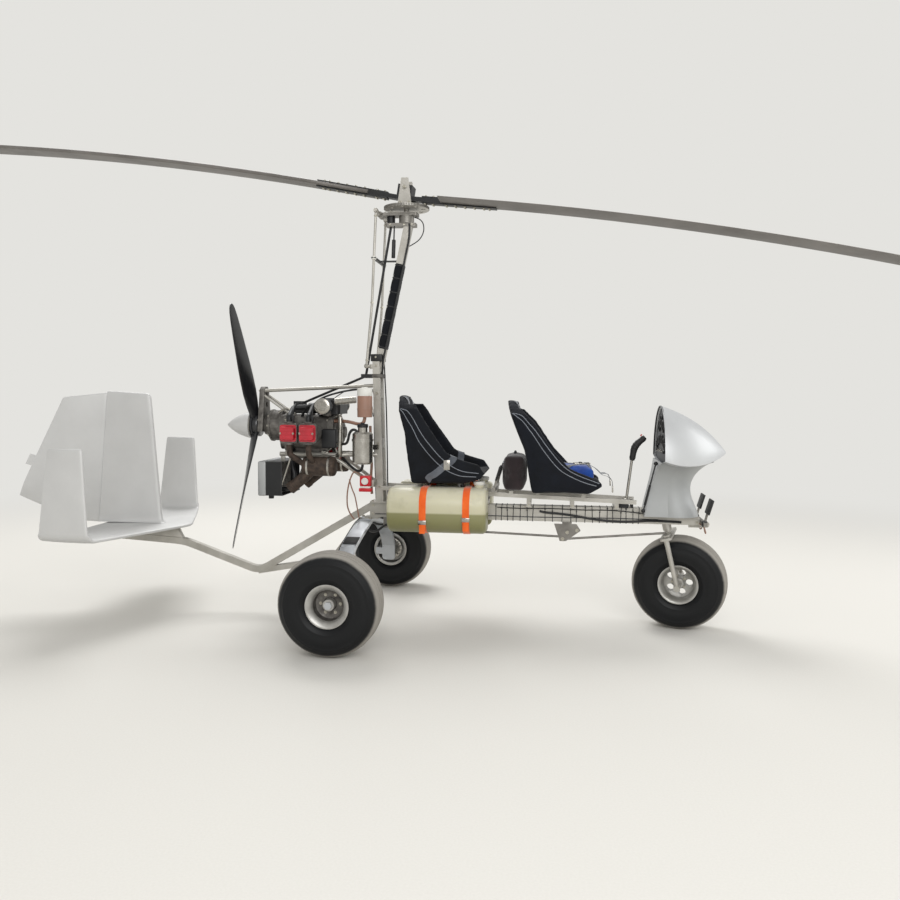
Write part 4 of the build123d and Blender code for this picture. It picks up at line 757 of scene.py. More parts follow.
def bolts(name, spots, size_mm, body="airframe"):
    """Zinc-plated hex bolts with washers at (place, direction) spots, as one piece."""
    heads = [duplicate(master_bolt, place, direction, 0.4 * number, size_mm / 8) for number,
             (place, direction) in enumerate(spots)]
    return hand_over(gather(heads), name, zinc_plate, body=body)


# %% [markdown]
# The fin, the rudder and the tailplane are smooth shells with round leading edges. The rudder's nose is a half
# cylinder about the hinge line that sits in a hollow at the fin's back, so only a thin dark line shows between
# them, and the rudder can swing without touching. Each section is laid between a front and a rear point.

# %% Fin and rudder
hinge_foot, hinge_axis = joints["rudder_hinge"]
RUDDER_HELD = radians(15)  # the rudder is modelled straight, then swung to where the picture shows it
hinge_lean = hinge_axis.x / hinge_axis.z


def hinge_x(z):
    """Fore and aft place of the hinge line at a height."""
    return hinge_foot.x + (z - hinge_foot.z) * hinge_lean


fin_profile = ((0, 0, 0), (0, 1, 5.5), (0, 4, 10), (0, 11, 14), (0, 26, 16.5), (0.5, 0, 17), (1, -8, 17), (1, -2, 16),
               (1, -9, 10), (1, -13, 0))
fin_rows = (  # front x and z, rear z, swell
    (-1640, 570.5, 570.5, 2.1),
    (-1650, 578, 578, 1.45),
    (-1658, 592, 592, 1.12),
    (-1662, 620, 620, 1.0),
    (-1690, 950, 960, 1.0),
    (-1716, 1270, 1290, 1.0),
    (-1727, 1402, 1434, 1.0),
    (-1731, 1420, 1444, 0.93),
    (-1740, 1431, 1450, 0.72),
    (-1756, 1438, 1452.5, 0.3),
)
fin_shell = loft([section((x, 0, low), (hinge_x(high) + 9, 0, high), (0, 1, 0), fin_profile, swell) for x, low, high,
                  swell in fin_rows])
hand_over(fin_shell, "fin_shell", tail_sheet, 40)
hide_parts("fin")

rudder_profile = ((0, 0, 0), (0, 1.7, 6.5), (0, 6.5, 11.2), (0, 13, 13), (0, 30, 13), (0.35, 0, 12.2), (0.75, 0, 7.0),
                  (1, -10, 2.4), (1, 0, 1.3))
rudder_rows = (  # nose z, trailing x and z, swell
    (566, -2250, 574, 0.35),
    (568, -2262, 580, 0.75),
    (573, -2290, 592, 1.0),
    (580, -2400, 646, 1.0),
    (586, -2540, 712, 1.0),
    (592, -2620, 752, 1.0),
    (760, -2590, 838, 1.0),
    (1000, -2513, 1006, 1.0),
    (1250, -2409, 1226, 1.0),
    (1432, -2329, 1396, 1.0),
    (1439, -2324, 1404, 0.85),
    (1443, -2312, 1410, 0.45),
)
rudder_rings = [section((hinge_x(nose_z) + 13, 0, nose_z), (x, 0, z), (0, 1, 0), rudder_profile, swell) for nose_z, x,
                z, swell in rudder_rows]
rudder_shell = loft(rudder_rings)
tab_corners = ((-2539, 952), (-2576, 962), (-2544, 1030), (-2507, 1020))
trim_tab = loft([[Vector((x, y, z)) for x, z in tab_corners] for y in (-1.1, 1.1)])
horn = cut_plate([(-70, -9), (60, -9), (60, 9), (-70, 9)], 5, (hinge_x(632), 0, 632), (0, 0, 1))
swing = shift(hinge_foot) @ Matrix.Rotation(RUDDER_HELD, 4, hinge_axis) @ shift(-hinge_foot)
for piece, name, material, slot in ((rudder_shell, "rudder_shell", tail_sheet, "silver_alloy"),
                                    (trim_tab, "rudder_trim_tab", tail_sheet, "silver_alloy"),
                                    (horn, "rudder_horn", black_coat, "black_alloy")):
    piece.matrix_world = swing @ piece.matrix_world
    bpy.context.view_layer.update()
    hand_over(piece, name, material, 40, body="rudder")
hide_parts("rudder")
print("rudder reaches x", round(min(v.co.x for v in rudder_shell.data.vertices), 3))

# %% Tailplane with end plates
tail_profile = ((0, 0, 0), (0, 1.2, 4), (0, 5, 7.6), (0, 14, 10), (0.2, 0, 11), (0.6, 0, 9.5), (1, -20, 4.5),
                (1, 0, 1.5))
half_path = [(0, 559, 0), (50, 559, 0), (360, 559, 0), (660, 559, 0)]
half_path += [(720 + 49 * sin(a), 608 - 49 * cos(a), a) for a in [radians(d) for d in range(0, 91, 15)]]
half_path += [(769, 800, pi / 2), (769, 1085, pi / 2)]


def tail_station(y, z, lean, hand, swell=1.0, trim=0.0):
    """Section of the tailplane at one station of its bent span."""
    if lean < pi / 2:
        front = -1444 - 0.386 * (y * y + 1600) ** 0.5
        rear = -2062
    else:
        share = (z - 548) / 560
        front = -1745 - 26 * share
        rear = -2062 + 72 * share
    across = (0, -hand * sin(lean), cos(lean))
    return section((front - trim, hand * y, z), (rear + trim, hand * y, z), across, tail_profile, swell)


tip_rows = ((1098, 0.95, 2), (1105, 0.7, 6), (1108, 0.3, 14))
port_half = [tail_station(y, z, lean, 1) for y, z, lean in half_path]
port_half += [tail_station(769, z, pi / 2, 1, swell, trim) for z, swell, trim in tip_rows]
starboard_half = [tail_station(y, z, lean, -1) for y, z, lean in half_path[1:]]
starboard_half += [tail_station(769, z, pi / 2, -1, swell, trim) for z, swell, trim in tip_rows]
tail_shell = loft(list(reversed(starboard_half)) + port_half)
hand_over(tail_shell, "tailplane_shell", tail_sheet, 40)
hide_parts("tailplane")
bolts("tailplane_bolts", [((x, y, 547.5), (0, 0, -1)) for x in (-1620, -1740, -1860) for y in (-32, 32)], 8)
print("tail faces:", len(tail_shell.data.polygons), len(fin_shell.data.polygons))

# %% [markdown]
# A main rim is a spun alloy dish: a broad pale lip, then a deep well with the hub, its bolts and the valve in
# shadow. A thin skin of dark cast alloy lies in each main rim's well: painted shade for that well, together
# with the grey of brake dust. The nose rim has five round windows, cut with a boolean, which leaves a star
# between hub and lip. The brake discs sit on the inner side of the main wheels, drilled so that they run cooler.

# %% Rims and brakes
dish = ((12.8, 59), (30, 59), (32.5, 56.5), (32.5, 18), (40, 10), (72, 9), (82, 15), (85, 30), (86.5, 60), (89, 70),
        (100, 83.5), (112, 91.5), (119, 94.2), (122.2, 93.5), (122.6, 90), (109.5, 79), (108, 74))
inner_side = ((108, -82), (122.2, -88.5), (122.2, -93), (118, -94.2), (103, -88), (103, -20), (98, -12), (32.5, -9),
              (32.5, -56.5), (30, -59), (12.8, -59))
nose_dish = ((12.8, 59), (30, 59), (32.5, 56.5), (33.5, 30), (45, 20), (80, 22), (92, 32), (96, 60), (98.5, 74),
             (104, 84), (113, 92), (119, 94.2), (122.2, 93.5), (122.6, 90), (109.5, 79), (108, 74))


def both_faces(half):
    """Closed profile from one half of a symmetric one."""
    return list(half) + [(r, -a) for r, a in reversed(half)] + [half[0]]


def drilled(piece, spots, radius, depth, sides):
    """Drill round holes of a radius and a depth in mm along Y at (x, z) spots."""
    drills = []
    for x, z in spots:
        put_down()
        bpy.ops.mesh.primitive_cylinder_add(vertices=sides, radius=radius / 1000, depth=depth / 1000,
                                            rotation=(pi / 2, 0, 0), location=(x / 1000, 0, z / 1000))
        drills.append(bpy.context.object)
    drill = gather(drills)
    apply_modifier(piece, "BOOLEAN", operation="DIFFERENCE", object=drill)
    bpy.data.objects.remove(drill)


def on_circle(radius, count, start=0.0):
    """Spots in two directions on a circle."""
    return [(radius * cos(a), radius * sin(a)) for a in [2 * pi * n / count + start for n in range(count)]]


main_rim = lathe(list(dish + inner_side) + [dish[0]], steps=72)
nose_rim = lathe(both_faces(nose_dish), steps=72)
drilled(nose_rim, on_circle(62.5, 5), 22.5, 120, 28)
# thin dark skin lying on the well of the main rim: painted shade of the deep well, together with brake dust
well_dust_and_painted_shade = lathe([(32.8, 18.2), (40, 10), (72, 9), (82, 15), (85, 30), (86.5, 60), (85.5, 60.2), (84, 30.4),
                      (81.1, 15.8), (71.8, 10), (40.4, 11), (33.4, 18.8), (32.8, 18.2)], steps=72)
valve = lathe([(0, 0), (5, 0), (5, 20), (3.8, 22), (3.8, 34), (0, 34)], 12)
disc = lathe([(30, -2.4), (78, -2.4), (80, -1.2), (80, 1.2), (78, 2.4), (30, 2.4), (30, -2.4)], steps=64)
holes = [spot for ring, reach in enumerate((52, 64, 74)) for spot in on_circle(reach, 14, ring * pi / 21 + 0.02)]
drilled(disc, holes, 3.2, 20, 8)  # the start angle keeps the holes off the disc's mesh edges

for side, body in wheels.items():
    centre, axle = joints[body + "_spin"]
    outboard = -axle if side == "right" else axle
    facing = Vector((0, 1, 0)).rotation_difference(outboard).to_matrix()
    master, count, reach, depth = (nose_rim, 5, 40, 21.2) if side == "nose" else (main_rim, 6, 56, 9.4)
    rim = hand_over(duplicate(master, centre, outboard), f"alloy_rim_{side}", rim_alloy, 40, body=body)
    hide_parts(f"rim_{side}")
    spots = [(centre + facing @ Vector((x, hand * depth, z)), facing @ Vector((0, hand, 0)))
             for hand in (left_right if side == "nose" else (1,)) for x, z in on_circle(reach, count, pi / count)]
    bolts(f"rim_bolts_{side}", spots, 8, body=body)
    foot = Vector((56, 56, 74)) if side == "nose" else Vector((50, 38, 68))
    hand_over(duplicate(valve, centre + facing @ foot, facing @ Vector((0, 1, 0))), f"tyre_valve_{side}", hose_rubber,
              body=body)
    if side != "nose":
        # the well's dark skin: painted shade and brake dust
        hand_over(duplicate(well_dust_and_painted_shade, centre, outboard), f"wheel_well_dust_and_painted_shade_{side}", cast_alloy,
                  40, body=body)
        hand_over(duplicate(disc, centre - outboard * 56.5, axle), f"brake_disc_{side}", stainless,
                  body=body)
print("rim faces:", len(main_rim.data.polygons), len(nose_rim.data.polygons), "disc", len(disc.data.polygons))
for master in (main_rim, nose_rim, disc, valve, well_dust_and_painted_shade):
    bpy.data.objects.remove(master)

# %% [markdown]
# A bucket seat is a tall block of foam with a seat-shaped hollow. Its side view gives the wings, its front view
# gives the rounded head, and what both allow is the outside. The same two views, drawn in by the wall, give the
# hollow. The cushion and the bag start as rounded boxes. All four are then padded.

# %% Seats, cushion and bag
SEAT_HALF, HEAD_HALF, WALL = 230, 198, 34  # half widths of the pan and of the head, thickness of the padded wall


def side_prism(outline):
    """Block of a side view given as (x, z)."""
    return loft([[(x, y, z) for x, z in outline] for y in (-SEAT_HALF, SEAT_HALF)])


def head_prism(inset, top_z, over):
    """Block of the seat's front view, drawn in by an inset and raised at the top."""
    low_half, top_half = SEAT_HALF - inset, HEAD_HALF - inset
    outline = [(-low_half, 500), (low_half, 500), (low_half, top_z - 300)]
    outline += [(top_half * t, top_z - 90 + (91 + over) * (1 - t * t))
                for t in (1, 0.8, 0.6, 0.4, 0.2, 0, -0.2, -0.4, -0.6, -0.8, -1)]
    outline.append((-low_half, top_z - 300))
    return loft([[(x, y, z) for y, z in outline] for x in (-500, 2000)])


def combine(piece, other, operation):
    """Boolean of two pieces, with the second one used up."""
    apply_modifier(piece, "BOOLEAN", object=other, operation=operation, solver="EXACT")
    bpy.data.objects.remove(other)
    return piece


def bucket_form(wing, hollow, top_z):
    """Foam block of a bucket seat before it is padded."""
    form = combine(side_prism(wing), head_prism(0, top_z, 0), "INTERSECT")
    room = combine(side_prism(hollow), head_prism(WALL, top_z, 40), "INTERSECT")
    return combine(form, room, "DIFFERENCE")


front_wing = ((650, 1425), (700, 1420), (748, 1373), (846, 1271), (958, 1114), (1055, 1012), (1246, 927), (1260, 900),
              (1176, 852), (824, 852), (775, 1110), (720, 1242))
front_hollow = ((690, 1480), (765, 1236), (822, 1100), (872, 930), (900, 910), (1300, 910), (1300, 1480))
rear_wing = ((-40, 1450), (20, 1448), (72, 1425), (150, 1303), (299, 1096), (380, 1057), (502, 1019), (542, 960),
             (510, 925), (398, 896), (80, 896), (50, 1040), (26, 1200))
rear_hollow = ((0, 1500), (80, 1195), (105, 1040), (140, 960), (175, 945), (600, 975), (600, 1500))
soft_table = (  # form, solid, piece, voxel, reach, pressure, shrink, finish, slot, fill
    (bucket_form(front_wing, front_hollow, 1425), "seat_front", "front_bucket_seat", 8.0, 8.0, 3.0, 4.0, seat_canvas,
     "seat_black", 0.6),
    (bucket_form(rear_wing, rear_hollow, 1450), "seat_rear", "rear_bucket_seat", 8.0, 8.0, 3.0, 4.0, rear_canvas,
     "seat_grey", 0.6),
    (block((250, 340, 92), (1078, 0, 956.5), 24, 3), "cushion_front", "blue_seat_cushion", 5.0, 14.0, 4.0, 5.0,
     blue_cotton, "cushion_blue", 0.7),
    (block((132, 324, 226), (708, 0, 961.5), 24, 3), "stowage_bag", "soft_stowage_bag", 6.0, 12.0, 4.0, 5.0,
     bag_cloth, "bag_brown", 0.5),
)
soft_pieces = {}
for form, node, name, voxel, reach, pressure, shrink, material, slot, fill in soft_table:
    fix_place(form)
    piece = pad_out(form, name, voxel, reach, pressure, shrink)
    hand_over(piece, name, material, 60)
    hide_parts(node)
    soft_pieces[name] = piece

# %% [markdown]
# Some rigid pieces are finished here, as they look on the machine: a propeller with slim round tips, a boom
# bent in one smooth run, tanks with moulded round ends, an exhaust with two collectors, the gearbox with its
# tall plate, and the tubes that brace it. Each takes the place of the plain solid of the same part.

# %% Propeller
prop_middle = Vector((-997, 0, 1236))
blade_rows = (  # radius, chord, thickness, pitch in degrees
    (58, 62, 40, 52),
    (110, 72, 34, 46),
    (170, 88, 28, 40),
    (250, 104, 22, 34),
    (350, 109, 18, 29),
    (450, 108, 15, 24.5),
    (560, 102, 13, 20),
    (670, 91, 10, 17.5),
    (760, 78, 8, 15.5),
    (815, 63, 7, 14.5),
    (842, 47, 6, 14),
    (856, 28, 5, 14),
    (860, 12, 4, 14))
prop_parts = []
for blade in range(3):
    outward = Vector((0, cos(2 * pi * blade / 3), sin(2 * pi * blade / 3)))
    flat = outward.cross(Vector((1, 0, 0)))
    rings = []
    for radius, chord, thick, pitch in blade_rows:
        run = flat * cos(radians(pitch)) + Vector((1, 0, 0)) * sin(radians(pitch))
        rise = outward.cross(run).normalized()
        centre = prop_middle + outward * radius
        ring = []
        for n in range(20):
            a = 2 * pi * n / 20
            ring.append(centre + run * (chord / 2 * cos(a)) + rise * (thick / 2 * sin(a)))
        rings.append(ring)
    prop_parts.append(loft(rings))
prop_hub = lathe([(16.8, -31), (71, -31), (75, -27), (75, -10), (66, -7), (66, 7), (75, 10), (75, 27), (71, 31),
                  (16.8, 31), (16.8, -31)], 64)
aim(prop_hub, prop_middle, (-1, 0, 0))
prop_parts.append(prop_hub)
whole_prop = hand_over(gather(prop_parts), "propeller_blades", propeller_lacquer, 50,
                       body="propeller")
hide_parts("propeller")
print("propeller points:", len(whole_prop.data.vertices))


# %% Tail boom
def softened(corners, reach, steps=6):
    """Path through corners with each one rounded over a reach to both sides."""
    spots = [Vector(c) for c in corners]
    path = [spots[0]]
    for before, here, there in zip(spots, spots[1:], spots[2:]):
        first = here + (before - here).normalized() * reach
        last = here + (there - here).normalized() * reach
        for step in range(steps + 1):
            t = step / steps
            path.append(first * (1 - t) ** 2 + here * (2 * t * (1 - t)) + last * t ** 2)
    return path + [spots[-1]]


def square_tube(path, wide, deep, corner=3.0):
    """Square tube in the XZ plane along a path."""
    rings = []
    for number, spot in enumerate(path):
        ahead = (path[min(number + 1, len(path) - 1)] - path[max(number - 1, 0)]).normalized()
        rise = Vector((-ahead.z, 0, ahead.x))
        w, d, c = wide / 2, deep / 2, corner
        rings.append([spot + Vector((0, y, 0)) + rise * z for y, z in ((w, d - c), (w - c, d), (c - w, d),
                (-w, d - c), (-w, c - d), (c - w, -d), (w - c, -d), (w, c - d))])
    return rings


def trimmed(ring, along, axis, level):
    """Ring slid along a direction until all its points lie at one level of an axis."""
    return [spot + along * ((level - spot[axis]) / along[axis]) for spot in ring]


boom_path = softened(((-179, 0, 744), (-980, 0, 268), (-1500, 0, 452), (-2070, 0, 486)), 62)
boom_rings = square_tube(boom_path, 46, 46)
boom_rings[0] = trimmed(boom_rings[0], (boom_path[1] - boom_path[0]).normalized(), 0, -225.2)
arm_path = softened(((-985, 0, 268), (-480, 0, 362), (-254, 0, 662)), 60)
arm_rings = square_tube(arm_path, 42, 38)
arm_rings[-1] = trimmed(arm_rings[-1], (arm_path[-1] - arm_path[-2]).normalized(), 2, 615.8)
tail_foot = cut_plate([(-1500, 452), (-1550, 548), (-1972, 548), (-2002, 487)], 38, (0, 0, 0), (0, 1, 0), 1.5)
boom = hand_over(gather([loft(boom_rings), loft(arm_rings), tail_foot]), "bent_tail_boom", frame_tube,
                 40)
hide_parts("tail_boom")
print("boom points:", len(boom.data.vertices))


# %% Tanks
def tank_ring(hand, inset):
    """Outline of a tank with a round outer side, drawn in by an inset."""
    near, far, low, high, r = 118 + inset, 338 - inset, 592 + inset, 872 - inset, 110 - inset
    corner = 6
    ring = [(near, low + corner), (near + corner, low)]
    ring += [(far - r + r * sin(a), low + r - r * cos(a)) for a in [radians(9 * n) for n in range(11)]]
    ring += [(far - r + r * cos(a), high - r + r * sin(a)) for a in [radians(9 * n) for n in range(11)]]
    ring += [(near + corner, high), (near, high - corner)]
    return [(hand * y, z) for y, z in ring]


tanks = []
for hand in left_right:
    rows = [(-60, 24), (-58.9, 17.5), (-55.3, 11.2), (-49.7, 6.2), (-43, 2.5), (-36, 0), (245, 0)]
    rows = rows + [(490 - x, inset) for x, inset in reversed(rows[:-1])]
    shell = loft([[(x, y, z) for y, z in tank_ring(hand, inset)] for x, inset in rows])
    neck = lathe([(0, 0), (29.5, 0), (30, 1), (30, 16), (0, 16)], 36)
    aim(neck, (495, hand * 163, 871.5), (0, 0, 1))
    tanks += [shell, neck]
tank_shells = hand_over(gather(tanks), "moulded_fuel_tanks", tank_plastic, 50)
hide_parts("fuel_tanks")

# %% Exhaust
exhaust_parts = []
for hand in left_right:
    collector = lathe([(0, 0), (47, 0), (58, 6), (62, 16), (62, 194), (58, 204), (47, 210), (0, 210)], 48)
    aim(collector, (-628, hand * 168, 985), (1, 0, 0))
    outlet = hose(((-560, hand * 168, 975), (-590, hand * 168, 946), (-614, hand * 168, 920), (-650, hand * 168, 890),
                   (-704, hand * 168, 848)), 72, 8)
    lip = lathe([(30, 0), (38.5, 0), (38.5, 30), (30, 30), (30, 0)], 40)
    aim(lip, (-692, hand * 168, 857), (-0.79, 0, -0.61))
    exhaust_parts += [collector, outlet, lip]
    for x, low_x in ((-689, -607.5), (-566, -546)):
        exhaust_parts.append(hose(((x, hand * 266, 1138), (x, hand * 266, 1100), (x, hand * 262, 1062),
                                   ((x + low_x) / 2, hand * 232, 1030), (low_x, hand * 190, 990)), 37, 8))
exhaust = hand_over(gather(exhaust_parts), "exhaust_collectors", heat_scale, 50)
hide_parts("exhaust")

# %% Gearbox and engine tubes
case = lathe([(0, 0), (104, 0), (104, 10), (99, 14), (99, 70), (104, 74), (104, 86), (98, 90), (72, 92), (70, 100),
              (62, 130), (16.5, 130), (16.5, 196), (0, 196)], 64)
aim(case, (-800.5, 0, 1236), (-1, 0, 0))
plate = cut_plate([(-92, -40), (92, -40), (46, 232), (20, 252), (-20, 252), (-46, 232)], 34, (0, 0, 0), (0, 1, 0), 3)
for z in (196, 136):
    drill = lathe([(0, -50), (19, -50), (19, 50), (0, 50)], 32)
    aim(drill, (0, 0, z), (0, 1, 0))
    bpy.context.view_layer.update()
    plate = combine(plate, drill, "DIFFERENCE")
aim(plate, (-943, 0, 1236), (-1, 0, 0))
gearbox = hand_over(gather([case, plate]), "gearbox_with_plate", cast_alloy, 35)
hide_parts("gearbox")
tubes = [hose(((-780, -112, 1056), (-780, 112, 1056)), 24)]
for hand in left_right:
    tubes += [
        hose(((-166, hand * 46, 1056), (-330, hand * 90, 1056), (-400, hand * 110, 1056), (-430, hand * 112, 1056),
              (-520, hand * 112, 1056), (-800, hand * 112, 1056)), 28),
        hose(((-180, hand * 46, 1500), (-927, hand * 30, 1462)), 22),
        hose(((-928, hand * 40, 1430), (-748, hand * 46, 1305)), 16),
        hose(((-160, hand * 46, 840), (-470, hand * 112, 1056)), 24),
        block((30, 8, 50), (-780, hand * 112, 1031), 1.5, 2),
    ]
    for x in (-740, -500):
        tubes.append(block((42, 42, 22), (x, hand * 112, 1068), 3, 2))
engine_tubes = hand_over(gather(tubes), "engine_mount_tubes", frame_tube, 50)
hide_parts("engine_mount")
hand_over(block((30, 112, 24), (-206, -110, 1338), 2, 2, Matrix.Rotation(radians(14), 4, "Z")), "header_bracket",
          frame_tube, 40)

# %% Control stick
# A slim plated tube carries a moulded grip that leans forward, with finger ridges on its front.
shaft = hose(((1406, 0, 790), (1438.5, 0, 1072)), 18)
foot = lathe([(0, 0), (19, 0), (20, 2), (20, 10), (17, 14), (15, 50), (9, 56), (0, 56)], 32)
aim(foot, (1406, 0, 748), (0, 0, 1))
stick = hand_over(gather([shaft, foot]), "stick_shaft", stainless, 60)
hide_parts("control_stick")
grip_path = softened(((1436.5, 0, 1044), (1450, 0, 1134), (1514, 0, 1190)), 34, 5)
grip_rings = []
for number in range(25):
    share = number / 24 * (len(grip_path) - 1)
    low, rest = min(int(share), len(grip_path) - 2), share - min(int(share), len(grip_path) - 2)
    spot = grip_path[low].lerp(grip_path[low + 1], rest)
    ahead = (grip_path[low + 1] - grip_path[low]).normalized()
    front = Vector((ahead.z, 0, -ahead.x))
    swell = 18.8 + 3.4 * sin(pi * number / 24) + cos(2 * pi * number / 4.8)
    if number in (0, 24):
        swell *= 0.72
    grip_rings.append([spot + Vector((0, swell * 0.88 * sin(a), 0))
                       + front * (swell * cos(a)) for a in [2 * pi * n / 24 for n in range(24)]])
hand_over(loft(grip_rings), "stick_grip", grip_rubber, 60)
print("stick grip rings:", len(grip_rings))

# %% Rotor blade roots and straps
teeter_spot, _ = joints["rotor_teeter"]
PARK_TURN, TEETER_REST, CONE = radians(-3.5), radians(8.8), radians(2.6)
ROOT_FACE, ROOT_SHIFT = (0.465, 0.475), 0.23  # where the solid's blades end near the hub, and how far they move in
tower_turn = Matrix.Rotation(PARK_TURN, 4, "Z")
park = tower_turn @ shift(teeter_spot) @ Matrix.Rotation(TEETER_REST, 4, "Y") @ shift(-teeter_spot)
hub = Vector((0, 0, 2.68))
solid_blades = frame["nodes"]["rotor_blades"]
blades = solid_blades.copy()
blades.data = solid_blades.data.copy()
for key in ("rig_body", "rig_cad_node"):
    if key in blades:
        del blades[key]
blades.parent = None
bpy.context.scene.collection.objects.link(blades)
straps = []
moved = 0
for hand in left_right:
    outward = Vector((hand * cos(CONE), 0, sin(CONE)))
    up = Vector((-hand * sin(CONE), 0, cos(CONE)))
    along = park.to_3x3() @ outward
    parked_hub = park @ hub
    for vertex in blades.data.vertices:
        if ROOT_FACE[0] < (vertex.co - parked_hub).dot(along) < ROOT_FACE[1]:
            vertex.co -= along * ROOT_SHIFT
            moved += 1
    lean = Matrix.Rotation(-hand * CONE, 4, "Y")
    for side in (1, -1):
        place = hub + outward * 0.232 + up * (side * 0.0178)
        straps.append(block((240, 60, 8), (0, 0, 0), 1.0, 2, park @ Matrix.Translation(place) @ lean))
print("blade root points moved:", moved)
close_up(blades)
hand_over(blades, "blades_to_the_hub", blade_skin, 35, body="rotor")
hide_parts("rotor_blades")
hand_over(gather(straps), "hub_strap_plates", black_coat, 40, body="rotor")

# %% [markdown]
# The two bucket seats are black and navy canvas over foam. Grey piping follows the edges of their side wings,
# and lap belts of webbing lie over the pans. Piping and belts are guided by a few points beside the seat, and
# each point is then brought to the nearest place on the padded cloth, so nothing floats or sinks in.

# %% Piping, webbing and buckles
def flowing(points, steps=6):
    """More points on a smooth run through a few given ones."""
    spots = [Vector(p) for p in points]
    padded = [2 * spots[0] - spots[1]] + spots + [2 * spots[-1] - spots[-2]]
    run = []
    for before, here, there, after in zip(padded, padded[1:], padded[2:], padded[3:]):
        for step in range(steps):
            t = step / steps
            run.append(0.5 * (2 * here + (there - before) * t + (2 * before - 5 * here + 4 * there - after) * t ** 2
                              + (3 * here - before - 3 * there + after) * t ** 3))
    return run + [spots[-1]]


def settle(piece, points, out_mm):
    """Nearest places on a piece, raised by a little, with the surface directions there."""
    found = [piece.closest_point_on_mesh(Vector(place) / 1000)[1:3] for place in points]
    return [(spot * 1000 + normal * out_mm, normal) for spot, normal in found]


def webbing(laid, width_mm, thick_mm=1.6):
    """Flat strap through places with surface directions."""
    rings = []
    for number, (spot, normal) in enumerate(laid):
        ahead = laid[min(number + 1, len(laid) - 1)][0] - laid[max(number - 1, 0)][0]
        side = ahead.cross(normal).normalized() * (width_mm / 2)
        rise = side.cross(ahead).normalized() * (thick_mm / 2)
        rings.append([spot + side * u + rise * v for u,
                      v in ((0.94, 1), (1, 0), (0.94, -1), (-0.94, -1), (-1, 0), (-0.94, 1))])
    return loft(rings)


piping_table = (  # seat, name, slot, lines of x and z on the side wings
    ("front_bucket_seat", "front_seat_piping", "seat_black", (((672, 1412), (716, 1388), (776, 1318), (850, 1236),
            (900, 1166), (956, 1090), (1020, 1020), (1110, 968), (1236, 922)),
            ((690, 1368), (742, 1302), (814, 1224), (866, 1152), (926, 1066), (996, 992), (1100, 936), (1214, 898)))),
    ("rear_bucket_seat", "rear_seat_piping", "seat_grey", (((-10, 1420), (34, 1372), (90, 1286), (150, 1192),
            (220, 1104), (300, 1026), (390, 976), (500, 962)),
            ((-22, 1380), (12, 1330), (66, 1246), (126, 1154), (196, 1066), (280, 990), (380, 944), (484, 936)))),
)
for seat, name, slot, lines in piping_table:
    cords = []
    for line in lines:
        for hand in left_right:
            guides = flowing([(x, hand * 260, z) for x, z in line], 3)
            cords.append(hose([spot for spot, _ in settle(soft_pieces[seat], guides, 1.0)], 5.0, 3))
    hand_over(gather(cords), name, piping_tape, 60)

belt_pairs = (  # name, lies on, guides on the starboard side
    ("rear_lap_belt", "rear_bucket_seat", ((330, -60, 1020), (340, -150, 1030), (352, -205, 1100), (338, -262, 1050),
                                           (262, -262, 985), (200, -262, 930), (176, -250, 905))),
    ("rear_shoulder_belt", "rear_bucket_seat",
     ((20, -70, 1470), (50, -75, 1380), (100, -80, 1240), (140, -80, 1100), (200, -80, 1000), (300, -70, 1000))),
    ("front_shoulder_belt", "front_bucket_seat",
     ((720, -70, 1450), (745, -75, 1360), (800, -80, 1220), (850, -80, 1080), (900, -80, 970), (935, -80, 950))),
)
belt_table = []
for name, seat, guides in belt_pairs:
    belt_table += [(name, seat, guides), (name + "_port", seat, [(x, -y, z) for x, y, z in guides])]
belt_table += [
    ("front_lap_belt", "blue_seat_cushion",
     ((1010, -190, 960), (1045, -120, 1050), (1075, -40, 1060), (1120, 10, 1060), (1190, 20, 1030), (1215, 20, 940))),
    ("front_lap_belt_port", "blue_seat_cushion",
     ((995, 190, 960), (1030, 130, 1050), (1060, 80, 1060), (1120, 70, 1060), (1185, 85, 1020), (1215, 90, 940))),
]
for name, seat, guides in belt_table:
    belt = webbing(settle(soft_pieces[seat], flowing(guides), 2.0), 44.0)
    apply_modifier(belt, "SMOOTH", factor=0.5, iterations=2)
    hand_over(belt, name, harness_web, 50)

buckle_table = (  # name, place, turn about X and Z in degrees
    ("rear_belt_buckle", (322, -72, 998.5), 0, 20),
    ("front_belt_buckle", (1105, 0, 1016), 4, 12),
    ("front_belt_latch", (1150, 75, 1008), 4, -20),
)
for name, place, tilt, heading in buckle_table:
    turn = Matrix.Rotation(radians(heading), 4, "Z") @ Matrix.Rotation(radians(tilt), 4, "X")
    case = block((58, 48, 15), place, 4, 3, turn)
    hand_over(case, name, stainless, 40)
    button = block((18, 30, 6), Vector(place) + turn.to_3x3() @ Vector((14, 0, 8.5)), 1.5, 2, turn)
    front = name.startswith("front")
    hand_over(button, name + "_button", black_coat if front else red_plastic,
              40)
loose_ends = (  # webbing that hangs over the front lip of the pan
    ("front_belt_end",
     ((1175, -20, 1012), (1215, -30, 990), (1252, -45, 955), (1288, -60, 944), (1312, -66, 918), (1316, -68, 880))),
    ("front_belt_end_port",
     ((1170, 75, 1010), (1210, 92, 986), (1246, 100, 955), (1284, 108, 950), (1306, 116, 930), (1312, 120, 902))),
)
for name, guides in loose_ends:
    run = flowing(guides)
    laid = [(spot, Vector((0.45, 0, 0.9)) if spot.z > 940 else Vector((1, 0, 0.25))) for spot in run]
    hand_over(webbing(laid, 44.0), name, harness_web, 50)
    tongue = block((8, 46, 40), run[-1] + Vector((0, 0, -12)), 2.5, 2)
    hand_over(tongue, name + "_tongue", stainless, 40)
adjuster = cut_plate([(-30, -19), (30, -19), (30, 19), (-30, 19)], 3, (300, -238.5, 1012), (0, -1, 0))
hand_over(adjuster, "rear_belt_adjuster", stainless, 40)
